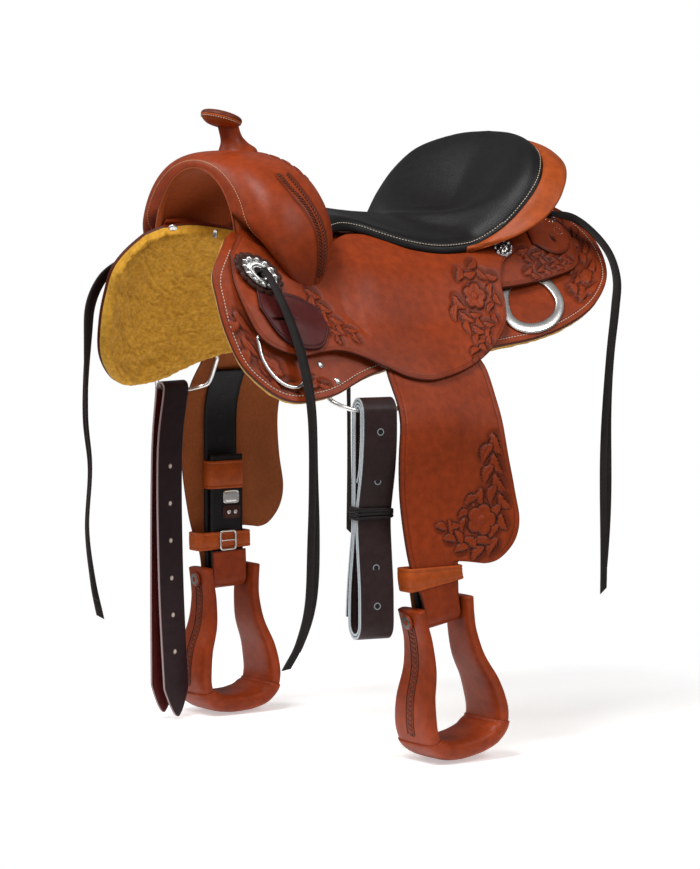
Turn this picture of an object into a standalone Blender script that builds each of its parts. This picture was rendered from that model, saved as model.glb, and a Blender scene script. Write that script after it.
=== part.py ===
"""A western saddle, built piece by piece in metres.

+Z is up, the horse faces -Y and the near (left) side is +X. The origin lies
over the middle of the back that carries the saddle, on the ridge line.
Leather panels are drawn on one shared surface, the saddle's side: a point on
it is given by s, the distance down from the ridge, and y, the place fore and
aft. A lift is a distance outward from that surface, whose zero is the outer
face of the skirts.
"""
import bpy
import bmesh
import math
from mathutils import Matrix, Vector

# Driving dimensions, in metres
RIDGE_MIDDLE = 0.015
RIDGE_RISE_FRONT = 0.90
RIDGE_RISE_REAR = 0.75
SIDE_REACH = 0.340
TOP_ANGLE = 11.0
SIDE_ANGLE = 58.0
FRONT_STEEPER = 12.0
REAR_FLATTER = 5.0
FRONT_CURL = 3.2
FRONT_CURL_FROM = -0.200
REAR_CURL = 1.5
REAR_CURL_FROM = 0.220
CLEARANCE = 0.0003
PLY_GAP = 0.0012
SKIRT_THICK = 0.005
FLEECE_THICK = 0.0147
BAR_THICK = 0.019
BAR_THICK_FRONT = 0.009
JOCKEY_THICK = 0.0045
FENDER_THICK = 0.0035
FENDER_BEND = 0.100
FENDER_FLARE = 0.20
FENDER_WRAP = 0.0143
LEATHER_THICK = 0.003
LEATHER_WRAP = 0.0076
SLEEVE_THICK = 0.0022
HOBBLE_FRONT = -0.0925
HOBBLE_REAR = -0.0080
HOBBLE_LOW = -0.449
HOBBLE_HIGH = -0.4245
REAR_JOCKEY_THICK = 0.0035
DEE_WIRE = 0.005
RIGGING_WIRE = 0.003
RIGGING_HALF = 0.052
RIGGING_UP = 0.030
RIGGING_DOWN = 0.040
RIGGING_SQUARE = 3.4
RIGGING_LEAN = 0.009
SEAT_STATIONS = 20
SEAM_FROM = 8
SEAT_EDGE = 0.004
SEAT_PAD = 0.008
GROUND_SEAT_THICK = 0.005
GULLET_RADIUS = 0.104
SWELL_TOP_RADIUS = 0.125
SWELL_BULGE = 0.049
SWELL_FRONT = -0.256
SWELL_REAR_TOP = -0.146
SWELL_REAR_SIDE = -0.120
SWELL_FOOT_ANGLE = -21.0
SWELL_ROUND_FROM = 4.0
COVER_THICK = 0.004
LINING_THICK = 0.0022
HORN_FOOT = (0.0, -0.187, 0.112)
HORN_TOP = (0.0, -0.202, 0.162)
HORN_POST_RADIUS = 0.008
HORN_CAP_RADIUS = 0.0285
HORN_CAP_TILT = 16.0
CONCHO_RADIUS = 0.018
CONCHO_THICK = 0.004
ROSETTE_RADIUS = 0.029
ROSETTE_THICK = 0.0025
SEAT_CONCHO_RADIUS = 0.0125
REAR_CONCHO_RADIUS = 0.0105
REAR_CONCHO_THICK = 0.0035
KEEPER_THICK = 0.0035
SPLIT_S = 0.325
SPLIT_GAP = 0.0014
STRAP_WIDTH = 0.054
BOLT_RADIUS = 0.005
BOLT_Z = -0.490
STIRRUP_Y = -0.046
STIRRUP_DEPTH_TOP = 0.052
STIRRUP_DEPTH_TREAD = 0.084
BRANCH_THICK = 0.015
BRANCH_THICK_LOW = 0.020
TREAD_THICK = 0.025
NECK_ROLL = {1: 10.0, -1: 2.0}
NECK_ROLL_PIVOT = -0.430
NECK_ROLL_FROM = -0.424
NECK_ROLL_TO = -0.456
LATIGO_WIDTH = 0.048
LATIGO_THICK = 0.0038
LATIGO_PITCH = 0.0046
LATIGO_DROP = 0.280
LATIGO_SHIFT = 0.006
LATIGO_REST = 0.0017
BILLET_SHIFT = -0.009
LATIGO_TIE_DROP = 0.133
BILLET_DROP = 0.468
STRING_RADIUS = 0.004
STRING_KNEE = 0.0075

# Outlines on the saddle's side, as (s, y) points
SKIRT_TOP = [(0.108, -0.248), (0.070, -0.200), (0.050, -0.120), (0.048, 0.000), (0.046, 0.110),
             (0.030, 0.190), (0.014, 0.256)]
SKIRT_EDGE = [(0.140, -0.272), (0.215, -0.307), (0.262, -0.312), (0.304, -0.310), (0.344, -0.298),
              (0.364, -0.268), (0.364, -0.237), (0.350, -0.203), (0.335, -0.171), (0.305, -0.120),
              (0.287, -0.060), (0.277, 0.020), (0.276, 0.095), (0.281, 0.151), (0.282, 0.202),
              (0.274, 0.256), (0.255, 0.293), (0.230, 0.309), (0.190, 0.314), (0.140, 0.306),
              (0.090, 0.290), (0.030, 0.270)]
BAR_TOP = [(0.100, -0.246), (0.078, -0.200), (0.068, -0.100), (0.066, 0.000), (0.066, 0.120),
           (0.078, 0.225), (0.100, 0.262)]
BAR_EDGE = [(0.145, -0.252), (0.178, -0.215), (0.184, -0.120), (0.180, 0.000), (0.180, 0.120),
            (0.182, 0.220), (0.150, 0.268)]
JOCKEY_TOP = [(0.134, -0.257), (0.150, -0.225), (0.156, -0.185), (0.148, -0.145), (0.116, -0.122),
              (0.096, -0.090), (0.090, -0.052), (0.102, -0.022), (0.122, 0.010), (0.128, 0.050),
              (0.130, 0.090), (0.130, 0.128), (0.142, 0.172)]
JOCKEY_EDGE = [(0.178, -0.280), (0.224, -0.287), (0.269, -0.282), (0.298, -0.266), (0.300, -0.225),
               (0.288, -0.195), (0.279, -0.163), (0.283, -0.133), (0.298, -0.099), (0.313, -0.070),
               (0.319, -0.040), (0.315, -0.010), (0.302, 0.035), (0.280, 0.080), (0.253, 0.111),
               (0.226, 0.124), (0.198, 0.128), (0.172, 0.143), (0.160, 0.172)]
REAR_JOCKEY_TOP = [(0.140, 0.112), (0.105, 0.168), (0.075, 0.198), (0.040, 0.208), (0.012, 0.210)]
REAR_JOCKEY_EDGE = [(0.196, 0.112), (0.204, 0.165), (0.210, 0.215), (0.211, 0.252), (0.198, 0.268),
                    (0.165, 0.277), (0.115, 0.277), (0.060, 0.262), (0.014, 0.246)]
KEEPER_TOP = [(0.222, -0.262), (0.214, -0.235), (0.212, -0.205), (0.222, -0.176)]
KEEPER_EDGE = [(0.252, -0.266), (0.282, -0.248), (0.290, -0.222), (0.280, -0.190), (0.250, -0.172)]
FENDER_HEAD_FRONT = [(0.098, -0.058), (0.180, -0.060), (0.240, -0.078), (0.290, -0.094),
                     (SPLIT_S - SPLIT_GAP, -0.100)]
FENDER_HEAD_REAR = [(0.098, 0.010), (0.180, 0.012), (0.240, 0.034), (0.290, 0.055),
                    (SPLIT_S - SPLIT_GAP, 0.061)]
FENDER_FRONT = [(0.000, -0.098), (0.045, -0.102), (0.090, -0.108), (0.150, -0.107), (0.210, -0.098),
                (0.250, -0.088), (0.285, -0.077), (0.392, -0.075)]
FENDER_REAR = [(0.000, 0.061), (0.080, 0.062), (0.140, 0.070), (0.185, 0.078), (0.215, 0.071),
               (0.237, 0.050), (0.2430, 0.028), (0.2385, 0.009), (0.2360, -0.0100), (0.248, -0.0125),
               (0.270, -0.015), (0.300, -0.018), (0.392, -0.018)]
CONCHO_AT = (0.197, -0.253)
SEAT_CONCHO_AT = (0.150, 0.155)
REAR_CONCHO_AT = (0.122, 0.262)
BREAST_DEE_AT = (0.312, -0.245)
RIGGING_DEE_AT = (0.318, -0.134)
REAR_DEE_AT = (0.238, 0.172)

# Seat rim, cantle and centre line, as (x, y, z) and (y, z) points
SEAT_EDGE_LINE = [(0.112, -0.124, 0.016), (0.098, -0.085, 0.024), (0.098, -0.052, 0.020),
                  (0.110, -0.024, 0.010), (0.128, 0.008, -0.001), (0.140, 0.050, -0.008),
                  (0.146, 0.090, -0.006)]
SEAT_SEAM = [(0.149, 0.113, 0.000), (0.165, 0.140, 0.020), (0.176, 0.168, 0.050), (0.174, 0.196, 0.083),
             (0.150, 0.219, 0.112), (0.110, 0.236, 0.128), (0.060, 0.246, 0.137), (0.0, 0.250, 0.140)]
ROLL_EDGE = [(0.160, 0.122, -0.004), (0.186, 0.152, 0.012), (0.199, 0.188, 0.036), (0.197, 0.218, 0.066),
             (0.170, 0.246, 0.098), (0.125, 0.264, 0.118), (0.070, 0.275, 0.129), (0.0, 0.279, 0.133)]
# Half of the stirrup's outer outline: (distance below the bolt, half width)
STIRRUP_HALF = [(-0.014, 0.048), (0.010, 0.0455), (0.032, 0.0445), (0.065, 0.0490), (0.099, 0.0620),
                (0.127, 0.0680), (0.150, 0.0690), (0.172, 0.0620), (0.187, 0.0440), (0.193, 0.0200),
                (0.194, 0.0)]
SEAT_CENTRE = [(-0.136, 0.062), (-0.100, 0.055), (-0.050, 0.047), (0.000, 0.041), (0.050, 0.038)]
SEAT_POCKET_REAR = (0.0, 0.120, 0.043)

# The coiled latigo from its dee down: outermost run outside and inside, as (distance out, height) points
COIL_RIGHT = [(0.0165, 0.000), (0.0165, -0.035), (0.0110, -0.075), (0.0020, -0.110), (-0.0033, -0.133),
              (-0.0035, -0.156), (0.0005, -0.190), (0.0055, -0.230), (0.0066, -0.262)]
COIL_LEFT = [(-0.0113, 0.000), (-0.0120, -0.035), (-0.0120, -0.075), (-0.0121, -0.110), (-0.0125, -0.133),
             (-0.0135, -0.156), (-0.0190, -0.190), (-0.0260, -0.230), (-0.0284, -0.262)]
COIL_TAIL = [(-0.0205, 0.000), (-0.0212, -0.035), (-0.0212, -0.075), (-0.0213, -0.110), (-0.0217, -0.133),
             (-0.0228, -0.156), (-0.0295, -0.190), (-0.0372, -0.230), (-0.0410, -0.262), (-0.0418, -0.274)]

# Middles of the doubled billet's two runs from the far dee down, as (y offset, share of the drop) points
BILLET_INSIDE = [(0.000, 0.0), (-0.013, 0.20), (-0.011, 0.60), (0.001, 1.0)]
BILLET_OUTSIDE = [(0.000, 0.0), (-0.009, 0.20), (-0.012, 0.60), (-0.012, 1.0)]

# Routes of the hanging strings, as points in the order they run
NEAR_FRONT_STRING = [(0.1800, -0.247, -0.048), (0.1980, -0.238, -0.085), (0.2140, -0.230, -0.130),
                     (0.2260, -0.226, -0.175), (0.2330, -0.224, -0.220), (0.2360, -0.223, -0.290),
                     (0.2370, -0.223, -0.370), (0.2360, -0.228, -0.460), (0.2350, -0.245, -0.515),
                     (0.2340, -0.266, -0.548)]
FAR_FRONT_STRING = [(-0.1760, -0.272, -0.034), (-0.1800, -0.294, -0.054), (-0.1780, -0.312, -0.088),
                    (-0.1750, -0.318, -0.136), (-0.1750, -0.322, -0.240), (-0.1760, -0.315, -0.313),
                    (-0.1750, -0.321, -0.397), (-0.1750, -0.312, -0.470), (-0.1750, -0.300, -0.522)]
NEAR_REAR_STRING = [(0.1420, 0.282, 0.030), (0.1660, 0.298, 0.010), (0.1900, 0.308, -0.020),
                    (0.2080, 0.306, -0.055), (0.2150, 0.297, -0.095), (0.2160, 0.288, -0.160),
                    (0.2150, 0.284, -0.250), (0.2150, 0.282, -0.380), (0.2150, 0.279, -0.486)]
FAR_REAR_STRING = [(-0.1500, 0.255, 0.020), (-0.1850, 0.232, -0.018), (-0.2120, 0.205, -0.058),
                   (-0.2300, 0.182, -0.098), (-0.2380, 0.170, -0.140), (-0.2400, 0.166, -0.190),
                   (-0.2380, 0.165, -0.270), (-0.2370, 0.165, -0.360), (-0.2360, 0.165, -0.438)]

SIDES = {"near": 1, "far": -1}
parts = None
cutters = None


def ease(t):
    """0 to 1 with flat ends."""
    t = min(max(t, 0.0), 1.0)
    return t * t * (3 - 2 * t)


def angle_down(s, y):
    """Slope of the saddle's side below the horizontal, in radians."""
    front = ease(-y / 0.27)
    rear = ease(y / 0.27)
    top = TOP_ANGLE + front + rear
    low = SIDE_ANGLE + FRONT_STEEPER * front - REAR_FLATTER * rear
    share = math.sin(min(max(s / SIDE_REACH, 0.0), 1.0) * math.pi / 2)
    return math.radians(top + (low - top) * share)


def bare_side(s, y):
    """The saddle's side at s and y, as (x, y, z)."""
    steps = 16
    x = 0.0
    z = RIDGE_MIDDLE + (RIDGE_RISE_FRONT if y < 0 else RIDGE_RISE_REAR) * y * y
    for k in range(steps):
        angle = angle_down((k + 0.5) * s / steps, y)
        x += math.cos(angle) * s / steps
        z -= math.sin(angle) * s / steps
    curl = FRONT_CURL * max(0.0, FRONT_CURL_FROM - y) ** 2 + REAR_CURL * max(0.0, y - REAR_CURL_FROM) ** 2
    return Vector((x - curl * ease(s / 0.15), y, z))


def side_normal(s, y):
    """Outward direction of the saddle's side."""
    d = 0.001
    down = bare_side(s + d, y) - bare_side(s - d, y)
    back = bare_side(s, y + d) - bare_side(s, y - d)
    return back.cross(down).normalized() * -1


def side(s, y, lift=0.0):
    """A point lifted off the saddle's side."""
    return bare_side(s, y) + side_normal(s, y) * lift


def bar_zone(s, y):
    """How much of the bar's thickness lies under s and y, from 0 to 1."""
    across = ease((s - 0.030) / 0.050) * (1 - ease((s - 0.150) / 0.090))
    along = ease((y + 0.275) / 0.060) * (1 - ease((y - 0.210) / 0.080))
    return across * along


def bar_lift(s, y):
    """Lift of the tree bar's outer face."""
    thick = BAR_THICK_FRONT + (BAR_THICK - BAR_THICK_FRONT) * ease((y + 0.125) / 0.050)
    return PLY_GAP / 2 + thick * bar_zone(s, y)


def fender_lift(s, y):
    """Lift of the fender head's inner face."""
    return bar_lift(s, y) + PLY_GAP


def rear_jockey_lift(s, y):
    """Lift of the rear jockey's inner face."""
    return bar_lift(s, y) + PLY_GAP * 1.4


def jockey_lift(s, y):
    """Lift of the seat jockey's inner face: over the fender head behind, close to the bar in front."""
    room = max(ease((s - 0.215) / 0.045), ease((y + 0.135) / 0.030))
    under = PLY_GAP + room * (FENDER_THICK + PLY_GAP * 1.4)
    return bar_lift(s, y) + under


def jockey_face(s, y):
    """Lift of the seat jockey's outer face."""
    return jockey_lift(s, y) + JOCKEY_THICK


def keeper_face(s, y):
    """Lift of what lies on the latigo keeper."""
    return jockey_face(s, y) + PLY_GAP + KEEPER_THICK + CLEARANCE * 2


def rear_jockey_face(s, y):
    """Lift of what lies on the rear jockey."""
    return rear_jockey_lift(s, y) + REAR_JOCKEY_THICK + CLEARANCE * 2


def spline(points, count):
    """Evenly spaced points along a smooth curve through the given points."""
    points = [Vector(p) for p in points]
    if len(points[0]) == 2:
        points = [p.to_3d() for p in points]
    fine = []
    for i in range(len(points) - 1):
        a, b = points[i], points[i + 1]
        before = points[i - 1] if i else a * 2 - b
        after = points[i + 2] if i + 2 < len(points) else b * 2 - a
        out, into = (b - before) / 2, (after - a) / 2
        for k in range(12):
            t = k / 12
            fine.append(a * (2 * t ** 3 - 3 * t ** 2 + 1) + out * (t ** 3 - 2 * t ** 2 + t)
                        + b * (3 * t ** 2 - 2 * t ** 3) + into * (t ** 3 - t ** 2))
    fine.append(points[-1])
    run = [0.0]
    for a, b in zip(fine, fine[1:]):
        run.append(run[-1] + (b - a).length)
    found = []
    k = 0
    for i in range(count):
        goal = run[-1] * i / (count - 1)
        while k < len(run) - 2 and run[k + 1] < goal:
            k += 1
        found.append(fine[k].lerp(fine[k + 1], (goal - run[k]) / max(run[k + 1] - run[k], 1e-9)))
    return found


def material(name, colour, roughness=0.5, metallic=0.0):
    """A plain Principled material, made once for each name."""
    found = bpy.data.materials.get(name)
    if found is None:
        found = bpy.data.materials.new(name)
        found.use_nodes = True
        shader = found.node_tree.nodes["Principled BSDF"]
        shader.inputs["Base Color"].default_value = (*colour, 1.0)
        shader.inputs["Roughness"].default_value = roughness
        shader.inputs["Metallic"].default_value = metallic
    return found


def russet():
    return material("russet_leather", (0.30, 0.052, 0.016), 0.42)


def tan_leather():
    return material("orange_leather", (0.42, 0.080, 0.018), 0.42)


def black_leather():
    return material("black_leather", (0.018, 0.016, 0.017), 0.45)


def latigo_leather():
    return material("latigo_leather", (0.040, 0.018, 0.018), 0.5)


def oxblood():
    return material("oxblood_leather", (0.080, 0.010, 0.010), 0.45)


def suede():
    return material("suede", (0.20, 0.055, 0.018), 0.9)


def wool():
    return material("fleece", (0.62, 0.33, 0.06), 1.0)


def wood():
    return material("tree_wood", (0.45, 0.30, 0.16), 0.6)


def silver():
    return material("silver", (0.75, 0.74, 0.70), 0.25, 1.0)


def finish(obj, look, smooth=40.0):
    """Give an object its material and place it with the parts."""
    obj.data.materials.clear()
    obj.data.materials.append(look)
    for collection in list(obj.users_collection):
        collection.objects.unlink(obj)
    parts.objects.link(obj)
    if obj.type == "MESH":
        obj.data.shade_smooth()
        obj.data.set_sharp_from_angle(angle=math.radians(smooth))
    return obj


def body_from(name, points, faces, look, sign=1, smooth=40.0):
    """A closed mesh object from points and faces, mirrored in X for the far side."""
    mesh = bpy.data.meshes.new(name)
    mesh.from_pydata([(p[0] * sign, p[1], p[2]) for p in points], [], faces)
    form = bmesh.new()
    form.from_mesh(mesh)
    bmesh.ops.remove_doubles(form, verts=form.verts, dist=1e-6)
    bmesh.ops.recalc_face_normals(form, faces=form.faces)
    form.to_mesh(mesh)
    form.free()
    obj = bpy.data.objects.new(name, mesh)
    bpy.context.scene.collection.objects.link(obj)
    return finish(obj, look, smooth)


def sheet_body(name, outer, inner, look, sign=1, smooth=40.0):
    """A closed sheet between two grids of points of one size."""
    rows, columns = len(outer), len(outer[0])
    points = [p for row in outer for p in row] + [p for row in inner for p in row]
    low = rows * columns
    faces = []
    for i in range(rows - 1):
        for j in range(columns - 1):
            a, b = i * columns + j, i * columns + j + 1
            c, d = b + columns, a + columns
            faces += [(a, b, c), (a, c, d)]
            faces += [(low + c, low + b, low + a), (low + d, low + c, low + a)]
    rim = [(0, j) for j in range(columns)] + [(i, columns - 1) for i in range(1, rows)]
    rim += [(rows - 1, j) for j in range(columns - 2, -1, -1)] + [(i, 0) for i in range(rows - 2, 0, -1)]
    around = [i * columns + j for i, j in rim]
    for a, b in zip(around, around[1:] + around[:1]):
        faces.append((b, a, low + a, low + b))
    return body_from(name, points, faces, look, sign, smooth)


def panel(name, sign, top, edge, columns, rows, inner, outer, look):
    """A leather sheet on the saddle's side between two edge lines."""
    upper, lower = spline(top, columns + 1), spline(edge, columns + 1)
    grid = [[a.lerp(b, j / rows) for j in range(rows + 1)] for a, b in zip(upper, lower)]
    out = [[side(p.x, p.y, outer(p.x, p.y)) for p in row] for row in grid]
    into = [[side(p.x, p.y, inner(p.x, p.y)) for p in row] for row in grid]
    return sheet_body(name, out, into, look, sign)


def loft(name, sections, look, sign=1, ring=False, smooth=40.0):
    """A body through closed sections, ended by caps or joined into a ring."""
    size = len(sections[0])
    points = [p for section in sections for p in section]
    faces = []
    for i in range(len(sections) if ring else len(sections) - 1):
        a, b = i * size, (i + 1) % len(sections) * size
        for k in range(size):
            n = (k + 1) % size
            faces.append((a + k, a + n, b + n, b + k))
    if not ring:
        faces.append(tuple(reversed(range(size))))
        faces.append(tuple(range(len(points) - size, len(points))))
    return body_from(name, points, faces, look, sign, smooth)


def turned(name, profile, place, look, steps=20):
    """A turned piece: a profile of (radius, height) from top to bottom, screwed round Z, then placed."""
    mesh = bpy.data.meshes.new(name)
    closed = profile[0] == profile[-1]
    if closed:
        profile = profile[:-1]
    edges = [(k, k + 1) for k in range(len(profile) - 1)]
    if closed:
        edges.append((len(profile) - 1, 0))
    mesh.from_pydata([(r, 0.0, z) for r, z in profile], edges, [])
    obj = bpy.data.objects.new(name, mesh)
    bpy.context.scene.collection.objects.link(obj)
    screw = obj.modifiers.new("turn", "SCREW")
    screw.steps = steps
    screw.render_steps = steps
    screw.use_merge_vertices = True
    screw.merge_threshold = 0.00001
    obj.matrix_world = place
    return finish(obj, look)


def tube(name, points, radius, look, cyclic=False, fine=1):
    """A wire or cord along points."""
    curve = bpy.data.curves.new(name, "CURVE")
    curve.dimensions = "3D"
    curve.bevel_depth = radius
    curve.bevel_resolution = fine
    curve.use_fill_caps = not cyclic
    curve.render_resolution_u = 0
    line = curve.splines.new("POLY")
    line.points.add(len(points) - 1)
    for point, p in zip(line.points, points):
        point.co = (*p, 1.0)
    line.use_cyclic_u = cyclic
    obj = bpy.data.objects.new(name, curve)
    bpy.context.scene.collection.objects.link(obj)
    return finish(obj, look)


def to_mesh(obj):
    """The same object as a mesh, with its caps welded."""
    depsgraph = bpy.context.evaluated_depsgraph_get()
    mesh = bpy.data.meshes.new_from_object(obj.evaluated_get(depsgraph))
    form = bmesh.new()
    form.from_mesh(mesh)
    bmesh.ops.remove_doubles(form, verts=form.verts, dist=0.00001)
    bmesh.ops.recalc_face_normals(form, faces=form.faces)
    form.to_mesh(mesh)
    form.free()
    new = bpy.data.objects.new(obj.name, mesh)
    new.matrix_world = obj.matrix_world
    name = obj.name
    looks = obj.data.materials[0]
    bpy.data.objects.remove(obj)
    new.name = name
    bpy.context.scene.collection.objects.link(new)
    return finish(new, looks)


def as_cutter(obj):
    """Move an object to the cutters, out of the build."""
    for collection in list(obj.users_collection):
        collection.objects.unlink(obj)
    cutters.objects.link(obj)
    obj.hide_render = True
    obj.display_type = "WIRE"
    return obj


def cut(obj, cutter):
    """Take the cutter's shape out of an object."""
    change = obj.modifiers.new("cut", "BOOLEAN")
    change.operation = "DIFFERENCE"
    change.object = cutter
    change.solver = "EXACT"


def swell_point(angle, t, grow=0.0):
    """A point of the fork's outside: angle round the gullet, t from the front rim to the rear rim."""
    share = ease((angle - SWELL_FOOT_ANGLE) / (90 - SWELL_FOOT_ANGLE))
    near_foot = min(max((SWELL_ROUND_FROM - angle) / (SWELL_ROUND_FROM - SWELL_FOOT_ANGLE), 0.0), 1.0)
    rounding = 1 - math.sqrt(1 - 0.98 * near_foot ** 2)
    foot_in = 11.0
    turn = math.pi * t
    crown = abs(math.sin(turn)) ** 0.72
    middle = -math.cos(turn)
    inner_angle = foot_in + (90 - foot_in) * (angle - SWELL_FOOT_ANGLE) / (90 - SWELL_FOOT_ANGLE)
    a = math.radians(inner_angle + (angle - inner_angle) * crown)
    low = GULLET_RADIUS - 0.004 * math.cos(a) ** 2
    high = SWELL_TOP_RADIUS + SWELL_BULGE * math.cos(a) ** 2 + grow
    radius = low + (high - low) * crown
    front = SWELL_FRONT - grow + 0.062 * rounding
    rear = SWELL_REAR_SIDE + (SWELL_REAR_TOP - SWELL_REAR_SIDE) * share + grow - 0.030 * rounding
    along = math.copysign(abs(middle) ** 0.8, middle)
    y = (front + rear) / 2 + (rear - front) / 2 * along
    return Vector((radius * math.cos(a), y, radius * math.sin(a)))


def swell_angles(count, foot=None):
    """Angles from the near foot over the top to the far foot."""
    foot = SWELL_FOOT_ANGLE if foot is None else foot
    return [foot + (180 - 2 * foot) * k / count for k in range(count + 1)]


def swell_grid(angles, steps, grow):
    """The outside of the fork as a grid, the far half mirrored."""
    grid = []
    for angle in angles:
        near = angle <= 90
        row = [swell_point(angle if near else 180 - angle, k / steps, grow) for k in range(steps + 1)]
        grid.append(row if near else [Vector((-p.x, p.y, p.z)) for p in row])
    return grid


def inset(grid, depth):
    """A grid moved inward by its own normals."""
    rows, columns = len(grid), len(grid[0])
    moved = []
    for i in range(rows):
        row = []
        for j in range(columns):
            u = grid[min(i + 1, rows - 1)][j] - grid[max(i - 1, 0)][j]
            v = grid[i][min(j + 1, columns - 1)] - grid[i][max(j - 1, 0)]
            row.append(grid[i][j] + u.cross(v).normalized() * depth)
        moved.append(row)
    return moved


def bars_cutter(name, lift):
    """A solid that fills both sides up to a lift, for cutting what sits on them."""
    grid = []
    for k in range(31):
        y = -0.30 + 0.60 * k / 30
        near = [side(s, y, lift(s, y)) for s in (0.0, 0.03, 0.06, 0.09, 0.12, 0.14, 0.16, 0.18, 0.21, 0.25)]
        far = [Vector((-p.x, p.y, p.z)) for p in reversed(near[1:])]
        near[0].x = 0.0
        grid.append(far + near)
    low = [[Vector((p.x * 0.8, p.y, p.z - 0.08)) for p in row] for row in grid]
    return as_cutter(sheet_body(name, grid, low, wood()))


def make_fork():
    """Fork, its leather cover, the gullet lining and the horn."""
    over_bars = bars_cutter("cutter_over_bars", lambda s, y: bar_lift(s, y) + PLY_GAP * 2.5)
    over_jockeys = bars_cutter("cutter_over_jockeys", lambda s, y: jockey_face(s, y) + CLEARANCE * 3)
    steps = 10
    outside = swell_grid(swell_angles(22), steps, 0.0)
    inside = inset(outside, COVER_THICK)
    cover = sheet_body("swell_cover", outside, inside, russet(), smooth=60)
    core_grid = swell_grid(swell_angles(16, 2.0), 8, -COVER_THICK - 0.004)
    sections = []
    for row, angle in zip(core_grid, swell_angles(16, 2.0)):
        slim = 0.35 + 0.65 * ease((min(angle, 180 - angle) - 2) / 40)
        raised = []
        for p in row:
            reach = math.hypot(p.x, p.z)
            level = (GULLET_RADIUS + (reach - GULLET_RADIUS) * slim) / reach
            middle = (SWELL_FRONT + SWELL_REAR_SIDE) / 2
            raised.append(Vector((p.x * level, middle + (p.y - middle) * (0.45 + 0.55 * slim),
                                  p.z * level)))
        for p in (raised[0], raised[-1]):
            flat = Vector((p.x, 0, p.z))
            out = flat.normalized() * (GULLET_RADIUS + 0.0008)
            p.x, p.z = out.x, out.z
        sections.append(raised)
    fork = loft("tree_fork", sections, wood())
    band = []
    for angle in swell_angles(20, 12.0):
        a = math.radians(angle)
        share = ease((min(angle, 180 - angle) - SWELL_FOOT_ANGLE) / (90 - SWELL_FOOT_ANGLE))
        rear = SWELL_REAR_SIDE + (SWELL_REAR_TOP - SWELL_REAR_SIDE) * share
        out = GULLET_RADIUS - 0.0045
        into = out - LINING_THICK
        band.append([Vector((r * math.cos(a), y, r * math.sin(a))) for r,
                     y in ((out, SWELL_FRONT + 0.002), (out, rear - 0.002), (into, rear - 0.002),
                           (into, SWELL_FRONT + 0.002))])
    lining = loft("gullet_lining", band, suede())
    for obj in (fork, lining):
        cut(obj, over_bars)
    cut(cover, over_jockeys)
    foot, top = Vector(HORN_FOOT), Vector(HORN_TOP)
    axis = (top - foot).normalized()
    turn = Vector((0, 0, 1)).rotation_difference(axis).to_matrix().to_4x4()
    place = Matrix.Translation(foot) @ turn
    length = (top - foot).length
    flange = -0.002
    hole = turned("cutter_horn_hole", [(0, length), (HORN_POST_RADIUS + CLEARANCE, length),
                                       (HORN_POST_RADIUS + CLEARANCE, -0.010), (0, -0.010)], place, wood())
    as_cutter(hole)
    bed = turned("cutter_horn_bed", [(0, 0.030), (0.0185, 0.030), (0.0185, flange - 0.0053),
                                     (0, flange - 0.0053)], place, wood())
    as_cutter(bed)
    cut(fork, bed)
    cut(cover, hole)
    turned("horn_post", [(0, length - 0.001), (HORN_POST_RADIUS, length - 0.001),
                         (HORN_POST_RADIUS, flange), (0.018, flange - 0.002), (0.018, flange - 0.005),
                         (0, flange - 0.005)], place, material("horn_steel", (0.3, 0.3, 0.3), 0.4, 1.0), 16)
    neck = turned("horn_neck", [(HORN_POST_RADIUS + CLEARANCE, length - 0.0072), (0.0152, length - 0.0072),
                                (0.0150, 0.034), (0.0160, 0.026), (0.0190, 0.019), (0.0260, 0.013),
                                (0.0300, 0.010), (0.0300, 0.005), (HORN_POST_RADIUS + CLEARANCE, 0.005),
                                (HORN_POST_RADIUS + CLEARANCE, length - 0.0072)], place, russet(), 18)
    envelope = []
    for row in swell_grid(swell_angles(22), steps, CLEARANCE):
        deep = 1 - 0.008 / GULLET_RADIUS
        ends = [Vector((p.x * deep, p.y, p.z * deep)) for p in (row[-1], row[0])]
        envelope.append(row + ends)
    over_swell = as_cutter(loft("cutter_over_swell", envelope, wood()))
    cut(neck, over_swell)
    tilt = Matrix.Rotation(math.radians(-HORN_CAP_TILT), 4, "X")
    cap_place = Matrix.Translation(top + Vector((0, -0.0095, 0.0065))) @ tilt
    cap = turned("horn_cap", [(0, 0.0085), (0.015, 0.0080), (0.0245, 0.0060), (HORN_CAP_RADIUS, 0.0015),
                              (HORN_CAP_RADIUS - 0.0008, -0.0020), (0.0230, -0.0075), (0.0170, -0.0110),
                              (0, -0.0115)], cap_place, russet(), 22)
    over_neck = as_cutter(turned("cutter_over_neck", [(0, length - 0.0069), (0.0156, length - 0.0069),
                                                      (0.0156, 0.0), (0, 0.0)], place, wood(), 20))
    over_post = as_cutter(turned("cutter_over_post", [(0, length - 0.0007),
                                                      (HORN_POST_RADIUS + CLEARANCE, length - 0.0007),
                                                      (HORN_POST_RADIUS + CLEARANCE, 0.0), (0, 0.0)],
                                 place, wood(), 20))
    cut(cap, over_neck)
    cut(cap, over_post)
    return over_bars, over_jockeys, over_swell


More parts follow.
